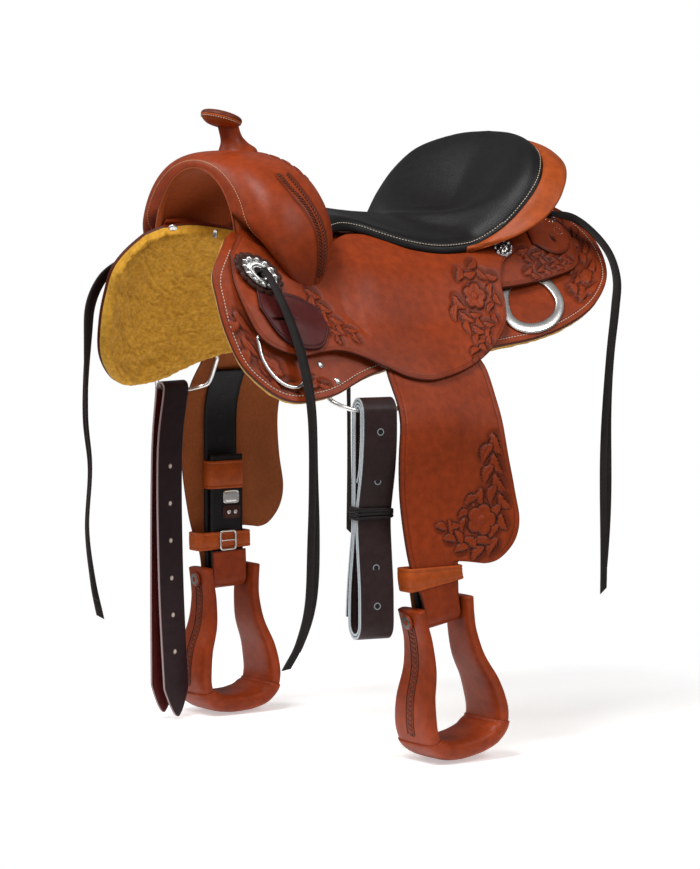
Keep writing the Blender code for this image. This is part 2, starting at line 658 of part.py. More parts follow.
def seat_grid(count, across, depth):
    """The seat's top (depth 0) or a surface at a depth below it, on the near half."""
    grid = []
    edges = spline(SEAT_EDGE_LINE + SEAT_SEAM, count + 1)
    fore = spline([(0.0, y, z) for y, z in SEAT_CENTRE], count * 2 // 5 + 1)
    pocket = fore[-1]
    aft = [pocket.lerp(Vector(SEAT_POCKET_REAR), (k + 1) / (count * 3 // 5)) for k in range(count * 3 // 5)]
    centres = fore + aft
    for k, edge in enumerate(edges):
        inner = centres[k]
        row = []
        for n in range(across + 1):
            v = (n / across) ** 1.25
            flat = edge.lerp(inner, v)
            fall = 1 - ease((v - 0.04) / 0.66)
            bowl = ease((edge.z - 0.0) / 0.05)
            fall = (1 - v) * (1 - bowl) + fall * bowl
            z = inner.z + (edge.z - inner.z) * fall
            bump = (v / 0.12) * math.exp(1 - v / 0.12)
            row.append(Vector((flat.x, flat.y, z + bump * (0.009 + 0.004 * bowl))))
        grid.append(row)
    if depth is None:
        return grid
    lowered = []
    for k, row in enumerate(grid):
        new = []
        for n, p in enumerate(row):
            u = grid[min(k + 1, count)][n] - grid[max(k - 1, 0)][n]
            w = row[min(n + 1, across)] - row[max(n - 1, 0)]
            up = u.cross(w)
            if up.length < 1e-9:
                up = Vector((0, 0, 1))
            up.normalize()
            if up.z < 0:
                up = -up
            if k == count:
                up = Vector((0, up.y, up.z)).normalized()
            if n == across:
                up = Vector((0, 0, 1))
            v = n / across
            up = Vector((0, 0, 1)).lerp(up, ease(v / 0.3)).normalized()
            new.append(p - up * depth(v))
        lowered.append(new)
    return lowered


def domed_body(name, top, low, look, open_rear=False):
    """A sheet over both sides from the near half's two grids: stations by steps toward the centre."""
    rows, columns = len(top), len(top[0])
    points = []
    faces = []
    for sign in (1, -1):
        start = len(points)
        points += [(p.x * sign, p.y, p.z) for grid in (top, low) for row in grid for p in row]
        under = start + rows * columns
        for i in range(rows - 1):
            for j in range(columns - 1):
                a = i * columns + j
                for base in (start, under):
                    faces.append((base + a, base + a + 1, base + a + columns + 1, base + a + columns))
            faces.append((start + i * columns, start + (i + 1) * columns, under + (i + 1) * columns,
                          under + i * columns))
        ends = [0, rows - 1] if open_rear else [0]
        for i in ends:
            for j in range(columns - 1):
                a = i * columns + j
                faces.append((start + a, start + a + 1, under + a + 1, under + a))
    return body_from(name, points, faces, look, smooth=60)


def make_seat(over_swell):
    """Padded seat and the ground seat under it."""
    count, across = SEAT_STATIONS, 6

    def pad(v):
        return SEAT_EDGE + SEAT_PAD * ease(v / 0.35)

    top = seat_grid(count, across, None)
    low = seat_grid(count, across, pad)
    seat = domed_body("seat", top, low, black_leather())
    cut(seat, over_swell)
    first = 13
    inner_top = [row[6:] for row in seat_grid(count, 8, lambda v: pad(v) + PLY_GAP)[:first]]
    inner_low = [row[6:] for row in seat_grid(count, 8, lambda v: pad(v) + PLY_GAP
                                              + GROUND_SEAT_THICK)[:first]]
    ground = domed_body("ground_seat", inner_top, inner_low,
                        material("skirting_leather", (0.45, 0.25, 0.12), 0.7), True)
    cut(ground, over_swell)
    return seat, ground


def outward(p):
    """Level direction away from the seat's pocket."""
    return Vector((p.x, p.y - 0.05, 0.0)).normalized()


def mirrored_path(sections):
    """Sections from the near end to the middle, followed by their mirror back to the far end."""
    far = [[Vector((-p.x, p.y, p.z)) for p in section] for section in reversed(sections[:-1])]
    return sections + far


def make_cantle(over_bars):
    """Cantle board, its rolled rim and the leather behind it."""
    seam = spline(SEAT_EDGE_LINE + SEAT_SEAM, SEAT_STATIONS + 1)[SEAM_FROM:]
    count = len(seam) - 1
    edge = spline(ROLL_EDGE, count + 1)
    roll = []
    for k, (a, b) in enumerate(zip(seam, edge)):
        out = outward(a)
        size = 0.35 + 0.65 * ease(k / count / 0.45)
        start = a + out * 0.0006 + Vector((0, 0, -0.0006))
        middle = start.lerp(b, 0.55) + Vector((0, 0, 0.0045 * size))
        under = b - out * 0.005 * size + Vector((0, 0, -0.0075 * size))
        back = a - out * 0.001 + Vector((0, 0, -0.0135 * size - 0.0045))
        front = a + out * 0.0006 + Vector((0, 0, -0.0052))
        section = [start, middle, b, under, back, front]
        if k == count:
            for p in section:
                p.x = 0.0
        roll.append(section)
    cantle_roll = loft("cantle_roll", mirrored_path(roll), tan_leather(), smooth=60)
    board = []
    cover = []
    room = []
    first = 4
    for k in range(first, count + 1):
        a = seam[k]
        out = outward(a)
        lean = Vector((0, 0, -1)) - out * 0.30
        top = a - out * 0.007 + Vector((0, 0, -0.021))
        drop = max(top.z - 0.030, 0.020)
        low = top + lean * drop
        board.append([top, low, low - out * 0.011, top - out * 0.011])
        start = top + out * (CLEARANCE * 2) + Vector((0, 0, -0.0015))
        end = start + lean * (drop + 0.004)
        cover.append([start + out * 0.003, end + out * 0.003, end, start])
        face = start + out * 0.0038
        foot = face + lean * (drop + 0.060)
        room.append([face, foot, foot - out * 0.090, face - out * 0.090])
    for group in (board, cover, room):
        for p in group[-1]:
            p.x = 0.0
    cantle = loft("tree_cantle", mirrored_path(board), wood())
    back = loft("cantle_back", mirrored_path(cover), tan_leather())
    cut(cantle, over_bars)
    cut(back, over_bars)
    return as_cutter(loft("cutter_cantle_room", mirrored_path(room), wood()))


def make_side(word, sign):
    """The panels of one side, horse outward."""
    skirt_in = -SKIRT_THICK
    fleece_out = skirt_in - CLEARANCE
    fleece_in = fleece_out - FLEECE_THICK
    columns, rows = 21, 6
    panel(f"skirt_{word}", sign, SKIRT_TOP, SKIRT_EDGE, columns, rows, lambda s, y: skirt_in, lambda s,
          y: 0.0, russet())
    fleece = panel(f"fleece_{word}", sign, SKIRT_TOP, SKIRT_EDGE, columns, rows, lambda s, y: fleece_in,
                   lambda s, y: fleece_out, wool())
    panel(f"tree_bar_{word}", sign, BAR_TOP, BAR_EDGE, 16, 4, lambda s, y: PLY_GAP, bar_lift, wood())
    panel(f"seat_jockey_{word}", sign, JOCKEY_TOP, JOCKEY_EDGE, 22, 8, jockey_lift, jockey_face, russet())
    rear = panel(f"rear_jockey_{word}", sign, REAR_JOCKEY_TOP, REAR_JOCKEY_EDGE, 14, 5, rear_jockey_lift,
                 lambda s, y: rear_jockey_lift(s, y) + REAR_JOCKEY_THICK, russet())
    panel(f"latigo_keeper_{word}", sign, KEEPER_TOP, KEEPER_EDGE, 8, 5, lambda s,
          y: jockey_face(s, y) + PLY_GAP, lambda s, y: jockey_face(s, y) + PLY_GAP + KEEPER_THICK,
          oxblood())
    panel(f"fender_head_{word}", sign, FENDER_HEAD_FRONT, FENDER_HEAD_REAR, 12, 5, fender_lift,
          lambda s, y: fender_lift(s, y) + FENDER_THICK, russet())
    return fleece, rear


def scalloped(name, at, sign, base, radius, thick, scallops, depth, dish, look):
    """A round ornament that follows the surface of a given lift, with a scalloped rim."""
    s, y = at
    count = scallops * 2
    rings = [(0.30, 1.0), (0.62, 1.0 - dish), (0.80, 1.0), (1.0, 0.55)]

    def place(r, k, rise):
        turn = 2 * math.pi * k / count
        down, back = s + r * math.cos(turn), y + r * math.sin(turn)
        return side(down, back, base(down, back) + rise)

    top = [[place(radius * share * (1 - (depth if k % 2 and share > 0.9 else 0)), k, thick * high)
            for k in range(count)] for share, high in rings]
    low = [place(radius * (1 - (depth if k % 2 else 0)), k, 0.0) for k in range(count)]
    points = [place(0.0, 0, thick * 0.9), place(0.0, 0, 0.0)] + [p for ring in top for p in ring] + low
    faces = []
    for k in range(count):
        n = (k + 1) % count
        faces.append((0, 2 + k, 2 + n))
        for ring in range(len(rings) - 1):
            a = 2 + ring * count
            faces.append((a + k, a + count + k, a + count + n, a + n))
        a = 2 + (len(rings) - 1) * count
        faces.append((a + k, a + count + k, a + count + n, a + n))
        faces.append((a + count + k, 1, a + count + n))
    return body_from(name, points, faces, look, sign)


def dee_points(s, y, lift, half, up, down, sign, square=2.0, lean=0.0, count=12):
    """A wire dee on the saddle's side: straight bar above, bow below, which may lean out at its foot."""
    points = []
    for k in range(count + 1):
        turn = math.pi * k / count
        drop = down * math.sin(turn) ** (2 / square)
        back = -math.copysign(abs(math.cos(turn)) ** (2 / square), math.cos(turn))
        points.append(side(s + drop, y + half * back, lift + lean * ease((drop / down - 0.6) / 0.4)))
    points.append(side(s - up * 0.6, y + half, lift))
    for k in range(3):
        points.append(side(s - up, y + half * (0.82 - 0.82 * k), lift))
    points.append(side(s - up * 0.6, y - half, lift))
    return [(p.x * sign, p.y, p.z) for p in points]


def make_hardware(word, sign, fleece):
    """Ornaments and metal of one side."""
    scalloped(f"concho_rosette_{word}", CONCHO_AT, sign, keeper_face, ROSETTE_RADIUS, ROSETTE_THICK, 10,
              0.07, 0.0, oxblood())
    scalloped(f"front_concho_{word}", CONCHO_AT, sign, lambda s,
              y: keeper_face(s, y) + ROSETTE_THICK + CLEARANCE, CONCHO_RADIUS, CONCHO_THICK, 9, 0.16, 0.35,
              silver())
    scalloped(f"seat_concho_{word}", SEAT_CONCHO_AT, sign, lambda s, y: jockey_face(s, y) + PLY_GAP,
              SEAT_CONCHO_RADIUS, 0.0035, 8, 0.16, 0.3, silver())
    scalloped(f"rear_concho_{word}", REAR_CONCHO_AT, sign, rear_jockey_face,
              REAR_CONCHO_RADIUS, REAR_CONCHO_THICK, 7, 0.16, 0.3, silver())
    s, y = BREAST_DEE_AT
    tube(f"breast_dee_{word}", dee_points(s, y, DEE_WIRE / 2 + 0.0005, 0.028, 0.030, 0.034, sign),
         DEE_WIRE / 2, silver(), True)
    s, y = RIGGING_DEE_AT
    lift = -SKIRT_THICK - RIGGING_WIRE - PLY_GAP
    bow = dee_points(s, y, lift, RIGGING_HALF, RIGGING_UP, RIGGING_DOWN, sign, RIGGING_SQUARE, RIGGING_LEAN)
    tube(f"rigging_dee_{word}", bow, RIGGING_WIRE, silver(), True)
    pocket = as_cutter(to_mesh(tube(f"cutter_rigging_pocket_{word}", bow, RIGGING_WIRE + 0.0008, silver(),
                                    True)))
    cut(fleece, pocket)
    s, y = REAR_DEE_AT
    sections = []
    count = 22
    for k in range(count):
        turn = 2 * math.pi * k / count
        down, back = math.cos(turn), math.sin(turn)
        flat = 1.12 if down < 0 else 1.0
        section = []
        for half, rise, lift in ((0.045, 0.040, 0.0008), (0.045, 0.040, 0.0040), (0.032, 0.027, 0.0040),
                                 (0.032, 0.027, 0.0008)):
            p = side(s + rise * down * flat, y + half * back, lift)
            section.append(p)
        sections.append(section)
    loft(f"rear_dee_{word}", sections, silver(), sign, ring=True)


def hang(q):
    """Fender surface below the split: level and height at a distance q down, and its outward direction."""
    start = side(SPLIT_S, STIRRUP_Y, PLY_GAP * 1.5 + FENDER_THICK / 2)
    x, z = start.x, start.z
    first = math.degrees(angle_down(SPLIT_S, STIRRUP_Y))
    steps = 20
    reach = min(q, FENDER_BEND)
    angle = math.radians(first)
    for k in range(steps):
        angle = math.radians(first + (90 - first) * ease((k + 0.5) / steps * reach / FENDER_BEND))
        x += math.cos(angle) * reach / steps
        z -= math.sin(angle) * reach / steps
    angle = math.radians(first + (90 - first) * ease(reach / FENDER_BEND))
    return Vector((x, 0.0, z - max(0.0, q - FENDER_BEND))), Vector((math.sin(angle), 0.0, math.cos(angle)))


def bolt_level():
    """Distance down the fender at which its line passes the stirrup bolt."""
    return FENDER_BEND + hang(FENDER_BEND)[0].z - BOLT_Z


def strap_point(q, offset, wrap):
    """The middle of a strap at q along it: down behind the fender, round the bolt and up again."""
    if q <= bolt_level():
        p, out = hang(q)
        return p - out * offset, out
    centre = Vector((hang(FENDER_BEND)[0].x - offset - wrap, 0.0, BOLT_Z))
    turn = (q - bolt_level()) / wrap
    if turn <= math.pi:
        out = Vector((math.cos(turn), 0.0, -math.sin(turn)))
        return centre + out * wrap, out
    return centre + Vector((-wrap, 0.0, (turn - math.pi) * wrap)), Vector((-1.0, 0.0, 0.0))


def make_fender(word, sign):
    """The hanging fender, the stirrup leather behind it, its sleeve and the hobble strap."""
    across = 4
    outer, inner = [], []
    for a, b in zip(spline(FENDER_FRONT, 31), spline(FENDER_REAR, 31)):
        upper, lower = [], []
        for n in range(across + 1):
            spot = a.lerp(b, n / across)
            p, out = strap_point(spot.x, 0.0, FENDER_WRAP)
            flare = FENDER_FLARE * max(0.0, spot.y + 0.005) * ease(spot.x / 0.15)
            middle = Vector((p.x + flare, spot.y, p.z))
            upper.append(rolled(middle + out * FENDER_THICK / 2, sign))
            lower.append(rolled(middle - out * FENDER_THICK / 2, sign))
        outer.append(upper)
        inner.append(lower)
    sheet_body(f"fender_{word}", outer, inner, russet(), sign)
    offset = FENDER_WRAP - LEATHER_WRAP
    half = STRAP_WIDTH / 2
    length = 0.505
    level = bolt_level()
    stations = [0.0, 0.03, 0.06, 0.09, (0.09 + level) / 2]
    stations += [level + math.pi * LEATHER_WRAP * k / 7 for k in range(8)]
    stations += [(level + length) / 2, length]
    outer, inner = [], []
    for q in stations:
        p, out = strap_point(q, offset, LEATHER_WRAP)
        rows = [Vector((p.x, STIRRUP_Y + half * w, p.z)) for w in (-1, 1)]
        outer.append([rolled(r + out * LEATHER_THICK / 2, sign) for r in rows])
        inner.append([rolled(r - out * LEATHER_THICK / 2, sign) for r in rows])
    sheet_body(f"stirrup_leather_{word}", outer, inner, black_leather(), sign)
    x_fender = hang(FENDER_BEND)[0].x
    x_bolt = x_fender - FENDER_WRAP
    x_out = x_bolt + LEATHER_WRAP + LEATHER_THICK / 2
    x_in = x_bolt - LEATHER_WRAP - LEATHER_THICK / 2
    band(f"buckle_sleeve_{word}", sign, x_in, x_out, STIRRUP_Y - half, STIRRUP_Y + half, -0.362, -0.322,
         SLEEVE_THICK, tan_leather())
    band(f"hobble_strap_{word}", sign, x_in, x_fender + FENDER_THICK / 2, HOBBLE_FRONT, HOBBLE_REAR,
         HOBBLE_LOW, HOBBLE_HIGH, 0.003, tan_leather(), True)
    face = x_in - 0.0047
    ring = []
    middle = Vector((0.0, -0.047, (HOBBLE_LOW + HOBBLE_HIGH) / 2))
    reach = Vector((0.0, 0.013, (HOBBLE_HIGH - HOBBLE_LOW) / 2 + 0.0015))
    for back, up in ((-1, -1), (1, -1), (1, 1), (-1, 1)):
        wide = middle + Vector((0.0, reach.y * back, reach.z * up))
        slim = middle + Vector((0.0, (reach.y - 0.003) * back, (reach.z - 0.003) * up))
        corners = ((face, wide), (face - 0.003, wide), (face - 0.003, slim), (face, slim))
        ring.append([rolled((x, p.y, p.z), sign) for x, p in corners])
    loft(f"hobble_buckle_{word}", ring, silver(), sign, ring=True)
    return x_bolt


def band(name, sign, x_in, x_out, y_front, y_rear, low, high, thick, look, bend=False):
    """A leather keeper round straps: a closed loop with rounded corners, bent with the neck if asked."""
    gap = 0.0005
    x_in, x_out, y_front, y_rear = x_in - gap, x_out + gap, y_front - gap, y_rear + gap
    sections = []
    corner = 0.0012
    for cx, cy, start in ((x_out - corner, y_rear - corner, 0), (x_in + corner, y_rear - corner, 90),
                          (x_in + corner, y_front + corner, 180), (x_out - corner, y_front + corner, 270)):
        for step in (0, 45, 90):
            a = math.radians(start + step)
            d = Vector((math.cos(a), math.sin(a), 0))
            inside = Vector((cx, cy, 0)) + d * corner
            outside = Vector((cx, cy, 0)) + d * (corner + thick)
            section = [Vector((p.x, p.y, z)) for p, z in ((inside, low), (outside, low), (outside, high),
                                                          (inside, high))]
            sections.append([rolled(p, sign) for p in section] if bend else section)
    return loft(name, sections, look, sign, ring=True)


def rolled(p, sign):
    """A point of one side's fender neck after the neck's roll, which drops its front edge."""
    share = ease((NECK_ROLL_FROM - p[2]) / (NECK_ROLL_FROM - NECK_ROLL_TO))
    pivot = Vector((0.0, STIRRUP_Y, NECK_ROLL_PIVOT))
    return pivot + Matrix.Rotation(math.radians(NECK_ROLL[sign] * share), 3, "X") @ (Vector(p) - pivot)


def roll_matrix(sign):
    """The neck's full roll, for the rigid pieces below it."""
    pivot = Matrix.Translation((0.0, STIRRUP_Y, NECK_ROLL_PIVOT))
    return pivot @ Matrix.Rotation(math.radians(NECK_ROLL[sign]), 4, "X") @ pivot.inverted()


def make_stirrup(word, sign, x_bolt):
    """Bell stirrup, open at the neck, with its bolt."""
    half = spline(STIRRUP_HALF, 13)
    outer = [Vector((-p.y, BOLT_Z - p.x, 0.0)) for p in half] + [Vector((p.y, BOLT_Z - p.x,
                                                                         0.0)) for p in reversed(half[:-1])]
    roll = roll_matrix(sign)
    drop = STIRRUP_HALF[-1][0]
    sections = []
    for k, p in enumerate(outer):
        along = (outer[min(k + 1, len(outer) - 1)] - outer[max(k - 1, 0)]).normalized()
        into = Vector((-along.y, along.x, 0))
        share = ease((BOLT_Z - p.y) / (drop * 0.75))
        wide = STIRRUP_DEPTH_TOP + (STIRRUP_DEPTH_TREAD - STIRRUP_DEPTH_TOP) * share
        level = ease((abs(along.x) - 0.35) / 0.5)
        branch = BRANCH_THICK + (BRANCH_THICK_LOW - BRANCH_THICK) * share
        thick = branch + (TREAD_THICK - branch) * level
        section = []
        for turn in range(8):
            a = 2 * math.pi * (turn + 0.5) / 8
            across = math.copysign(abs(math.cos(a)) ** 0.45,
                                   math.cos(a)) * wide / 2 / math.cos(math.pi / 8) ** 0.45
            rise = thick / 2 + math.copysign(abs(math.sin(a)) ** 0.55, math.sin(a)) * thick / 2
            section.append(roll @ Vector((x_bolt + across, STIRRUP_Y + p.x + into.x * rise,
                                          p.y + into.y * rise)))
        sections.append(section)
    stirrup = loft(f"stirrup_{word}", sections, russet(), sign, smooth=50)
    mirror = Matrix.Diagonal((sign, 1, 1, 1))
    turn = Matrix.Rotation(math.radians(90), 4, "X")
    place = mirror @ roll @ Matrix.Translation((x_bolt, STIRRUP_Y, BOLT_Z)) @ turn @ mirror
    reach = STIRRUP_HALF[0][1]
    hole = as_cutter(turned(f"cutter_bolt_{word}", [(0, reach + 0.01),
                                                    (BOLT_RADIUS + CLEARANCE, reach + 0.01),
                                                    (BOLT_RADIUS + CLEARANCE, -reach - 0.01),
                                                    (0, -reach - 0.01)], place, silver(), 12))
    cut(stirrup, hole)
    head = 0.0085
    out_face = reach + 0.0015
    turned(f"stirrup_bolt_{word}", [(0, out_face + 0.003), (head, out_face + 0.003), (head, out_face),
                                    (BOLT_RADIUS, out_face), (BOLT_RADIUS, -out_face), (head, -out_face),
                                    (head, -out_face - 0.003), (0, -out_face - 0.003)], place, silver(), 12)
    return roll @ Vector((x_bolt, STIRRUP_Y, BOLT_Z))


def strap_body(name, line, width, thick, place, look):
    """A flat strap along (point, outward) pairs, its width lying along its own Y, then placed."""
    across = Vector((0.0, width / 2, 0.0))
    outer = [[place @ (p - across + out * thick / 2), place @ (p + across + out * thick / 2)] for p,
             out in line]
    inner = [[place @ (p - across - out * thick / 2), place @ (p + across - out * thick / 2)] for p,
             out in line]
    return sheet_body(name, outer, inner, look)


def with_normals(line):
    """Points of a strap's middle line in the XZ plane, each with the direction at its left hand."""
    pairs = []
    for k, p in enumerate(line):
        along = line[min(k + 1, len(line) - 1)] - line[max(k - 1, 0)]
        pairs.append((p, Vector((-along.z, 0.0, along.x)).normalized()))
    return pairs


def coil_path():
    """The coiled latigo's middle line, as (distance out, height) points from its dee."""
    pitch = LATIGO_PITCH
    top_centre = (COIL_RIGHT[0][0] + COIL_TAIL[0][0]) / 2
    low_centre = (COIL_RIGHT[-1][0] + COIL_LEFT[-1][0] - pitch) / 2
    bows = 6
    path = [(n - 2 * pitch, z) for n, z in reversed(COIL_RIGHT[1:3])]
    path.insert(0, (COIL_RIGHT[3][0] - 2 * pitch + 0.002, -0.092))
    for turn in range(3):
        radius = COIL_RIGHT[0][0] - (2 - turn) * pitch - top_centre
        for k in range(bows + 1):
            a = math.pi * k / bows
            path.append((top_centre + radius * math.cos(a), radius * math.sin(a)))
        if turn == 2:
            path += COIL_TAIL[1:]
            break
        path += [(n - turn * pitch, z) for n, z in COIL_LEFT[1:]]
        radius = COIL_RIGHT[-1][0] - (1 - turn) * pitch - low_centre
        for k in range(bows + 1):
            a = math.pi * k / bows
            path.append((low_centre - radius * math.cos(a), -LATIGO_DROP - radius * math.sin(a)))
        path += [(n - (1 - turn) * pitch, z) for n, z in reversed(COIL_RIGHT[1:])]
    return path


def dee_place(shift, sign):
    """A frame at the bottom of a rigging dee: Y along its bow, X away from the horse."""
    s, y = RIGGING_DEE_AT
    lift = RIGGING_LEAN - SKIRT_THICK - RIGGING_WIRE - PLY_GAP
    ends = [side(s + RIGGING_DOWN, y + shift + reach, lift) for reach in (-0.02, 0.02)]
    along = ends[1] - ends[0]
    turn = math.atan2(-along.x * sign, along.y)
    middle = (ends[0] + ends[1]) / 2
    return Matrix.Translation((middle.x * sign, middle.y, middle.z)) @ Matrix.Rotation(turn, 4, "Z")


def make_latigo():
    """The near latigo coiled on its dee, its tie, and the off billet doubled over the other dee."""
    place = dee_place(LATIGO_SHIFT, 1)
    line = [Vector((n, 0.0, z - LATIGO_REST)) for n, z in coil_path()]
    strap_body("latigo_near", with_normals(line), LATIGO_WIDTH, LATIGO_THICK, place, latigo_leather())
    room = 0.0018 + LATIGO_THICK / 2
    half = LATIGO_WIDTH / 2 + 0.0006
    tie = band("latigo_tie", 1, COIL_TAIL[4][0] - room, COIL_RIGHT[4][0] + room, -half, half,
               -LATIGO_TIE_DROP - LATIGO_REST - 0.0065, -LATIGO_TIE_DROP - LATIGO_REST + 0.0065, 0.003,
               black_leather())
    tie.matrix_world = place
    far_place = dee_place(BILLET_SHIFT, -1)
    loop = RIGGING_WIRE + 0.0029 + LATIGO_THICK / 2
    inside = spline([(a, b, 0) for a, b in BILLET_INSIDE], 12)
    outside = spline([(a, b, 0) for a, b in BILLET_OUTSIDE], 12)
    line = [Vector((loop, p.x, -BILLET_DROP * p.y)) for p in reversed(inside)]
    line += [Vector((loop * math.cos(a), 0.0, 0.003 + loop * math.sin(a)))
             for a in (math.pi * k / 8 for k in range(1, 8))]
    line += [Vector((-loop, p.x, -(BILLET_DROP - 0.006) * p.y)) for p in outside]
    strap_body("off_billet_far", with_normals(line), LATIGO_WIDTH, LATIGO_THICK, far_place,
               latigo_leather())
    return place, far_place


def make_strings():
    """The four saddle strings, each from the face of its concho down."""
    front = keeper_face(*CONCHO_AT) + ROSETTE_THICK + CLEARANCE * 5 + CONCHO_THICK
    rear = rear_jockey_face(*REAR_CONCHO_AT) + CLEARANCE * 4 + REAR_CONCHO_THICK
    strings = (("string_front_near", CONCHO_AT, front, 1, NEAR_FRONT_STRING),
               ("string_front_far", CONCHO_AT, front, -1, FAR_FRONT_STRING),
               ("string_rear_near", REAR_CONCHO_AT, rear, 1, NEAR_REAR_STRING),
               ("string_rear_far", REAR_CONCHO_AT, rear, -1, FAR_REAR_STRING))
    for name, at, lift, sign, route in strings:
        root, knee = (Vector((p.x * sign, p.y, p.z)) for p in (side(*at, lift),
                                                               side(*at, lift + STRING_KNEE)))
        line = [root] + spline([knee] + [Vector(p) for p in route], 17)
        to_mesh(tube(name, line, STRING_RADIUS, black_leather(), fine=2))


def hinge_empty(name, place, names):
    """An empty on a joint's axis that carries the named objects."""
    empty = bpy.data.objects.new(name, None)
    empty.location = place
    bpy.context.scene.collection.objects.link(empty)
    bpy.context.view_layer.update()
    for child in names:
        obj = bpy.data.objects[child]
        obj.parent = empty
        obj.matrix_parent_inverse = empty.matrix_world.inverted()
    return empty


def build():
    """Make the whole saddle."""
    global parts, cutters
    for obj in list(bpy.data.objects):
        bpy.data.objects.remove(obj)
    parts = bpy.data.collections.new("saddle")
    cutters = bpy.data.collections.new("cutters")
    bpy.context.scene.collection.children.link(parts)
    bpy.context.scene.collection.children.link(cutters)
    over_bars, over_jockeys, over_swell = make_fork()
    over_heads = bars_cutter("cutter_over_heads", lambda s, y: fender_lift(s,
                                                                           y) + FENDER_THICK + PLY_GAP
                             - 0.016 * (1 - ease(s / 0.050)))
    seat, ground = make_seat(over_swell)
    cut(seat, over_heads)
    cut(ground, over_heads)
    cantle_room = make_cantle(over_bars)
    latigo_place, billet_place = make_latigo()
    for word, sign in SIDES.items():
        fleece, rear = make_side(word, sign)
        cut(rear, cantle_room)
        make_hardware(word, sign, fleece)
        x_bolt = make_fender(word, sign)
        pivot = make_stirrup(word, sign, x_bolt)
        top, out = hang(0.0)
        edge = top + out * FENDER_THICK / 2
        hinge_empty(f"fender_hinge_{word}", (sign * edge.x, STIRRUP_Y, edge.z),
                    [f"fender_{word}", f"stirrup_leather_{word}", f"buckle_sleeve_{word}",
                     f"hobble_strap_{word}", f"hobble_buckle_{word}"])
        hinge_empty(f"stirrup_hinge_{word}", (sign * pivot.x, pivot.y, pivot.z),
                    [f"stirrup_{word}", f"stirrup_bolt_{word}"])
    hinge_empty("latigo_hinge", latigo_place.translation, ["latigo_near", "latigo_tie"])
    hinge_empty("billet_hinge", billet_place.translation, ["off_billet_far"])
    make_strings()
    for empty in (o for o in bpy.data.objects if o.type == "EMPTY"):
        print(empty.name, [round(c, 5) for c in empty.location])
    for name, place in (("latigo", latigo_place), ("billet", billet_place)):
        print(name, "axis", [round(c, 5) for c in place.to_3x3().col[1]])


build()
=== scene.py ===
"""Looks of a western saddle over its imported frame.

Leather panels lie on one shared surface, the saddle's side: s is the distance
down from the ridge, y the place fore and aft, and a lift the distance outward.
The shapes repeat the numbers of the part's source, in metres.
"""
import math
import bmesh
import bpy
import numpy as np
from mathutils import Matrix, Vector


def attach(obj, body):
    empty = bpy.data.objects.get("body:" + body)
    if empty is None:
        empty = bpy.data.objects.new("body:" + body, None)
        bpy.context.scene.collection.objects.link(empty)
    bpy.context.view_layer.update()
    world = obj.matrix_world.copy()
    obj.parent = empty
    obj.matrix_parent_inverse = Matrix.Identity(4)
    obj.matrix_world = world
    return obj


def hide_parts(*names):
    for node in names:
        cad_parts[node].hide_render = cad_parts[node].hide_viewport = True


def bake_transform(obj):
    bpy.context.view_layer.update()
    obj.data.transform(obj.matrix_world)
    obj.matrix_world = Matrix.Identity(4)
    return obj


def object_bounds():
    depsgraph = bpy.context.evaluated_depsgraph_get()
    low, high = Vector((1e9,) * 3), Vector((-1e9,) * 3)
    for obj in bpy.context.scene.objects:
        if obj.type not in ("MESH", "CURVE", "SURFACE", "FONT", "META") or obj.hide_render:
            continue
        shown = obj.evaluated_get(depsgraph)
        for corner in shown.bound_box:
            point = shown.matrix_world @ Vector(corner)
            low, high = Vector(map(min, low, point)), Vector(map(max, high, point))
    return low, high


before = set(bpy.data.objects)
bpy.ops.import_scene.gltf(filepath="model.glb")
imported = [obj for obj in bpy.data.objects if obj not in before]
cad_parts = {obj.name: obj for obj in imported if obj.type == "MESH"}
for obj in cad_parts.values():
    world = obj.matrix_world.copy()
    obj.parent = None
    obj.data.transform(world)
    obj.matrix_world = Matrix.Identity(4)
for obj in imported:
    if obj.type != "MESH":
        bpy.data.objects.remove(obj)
cad_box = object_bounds()
ROOT = "saddle"


def mm(*rows):
    """Points typed in millimetres."""
    return [tuple(v / 1000 for v in row) for row in rows]


# Outlines on the saddle's side, as (s, y) points, and lines in space, as (x, y, z) points
SKIRT_TOP = mm((108, -248), (70, -200), (50, -120), (48, 0), (46, 110), (30, 190), (14, 256))
SKIRT_EDGE = mm((140, -272), (215, -307), (262, -312), (304, -310), (344, -298), (364, -268), (364, -237),
                (350, -203), (335, -171), (305, -120), (287, -60), (277, 20), (276, 95), (281, 151), (282, 202),
                (274, 256), (255, 293), (230, 309), (190, 314), (140, 306), (90, 290), (30, 270))
JOCKEY_TOP = mm((134, -257), (150, -225), (156, -185), (148, -145), (116, -122), (96, -90), (90, -52), (102, -22),
                (122, 10), (128, 50), (130, 90), (130, 128), (142, 172))
JOCKEY_EDGE = mm((178, -280), (224, -287), (269, -282), (298, -266), (300, -225), (288, -195), (279, -163),
                 (283, -133), (298, -99), (313, -70), (319, -40), (315, -10), (302, 35), (280, 80), (253, 111),
                 (226, 124), (198, 128), (172, 143), (160, 172))
REAR_JOCKEY_TOP = mm((140, 112), (105, 168), (75, 198), (40, 208), (12, 210))
REAR_JOCKEY_EDGE = mm((196, 112), (204, 165), (210, 215), (211, 252), (198, 268), (165, 277), (115, 277), (60, 262),
                      (14, 246))
KEEPER_TOP = mm((222, -262), (214, -235), (212, -205), (222, -176))
KEEPER_EDGE = mm((252, -266), (282, -248), (290, -222), (280, -190), (250, -172))
HEAD_FRONT = mm((98, -58), (180, -60), (240, -78), (290, -94), (325, -99))
HEAD_REAR = mm((98, 10), (180, 12), (240, 34), (290, 55), (325, 61))
FENDER_FRONT = mm((0, -98), (45, -102), (90, -108), (150, -107), (210, -98), (250, -88), (285, -77), (392, -75))
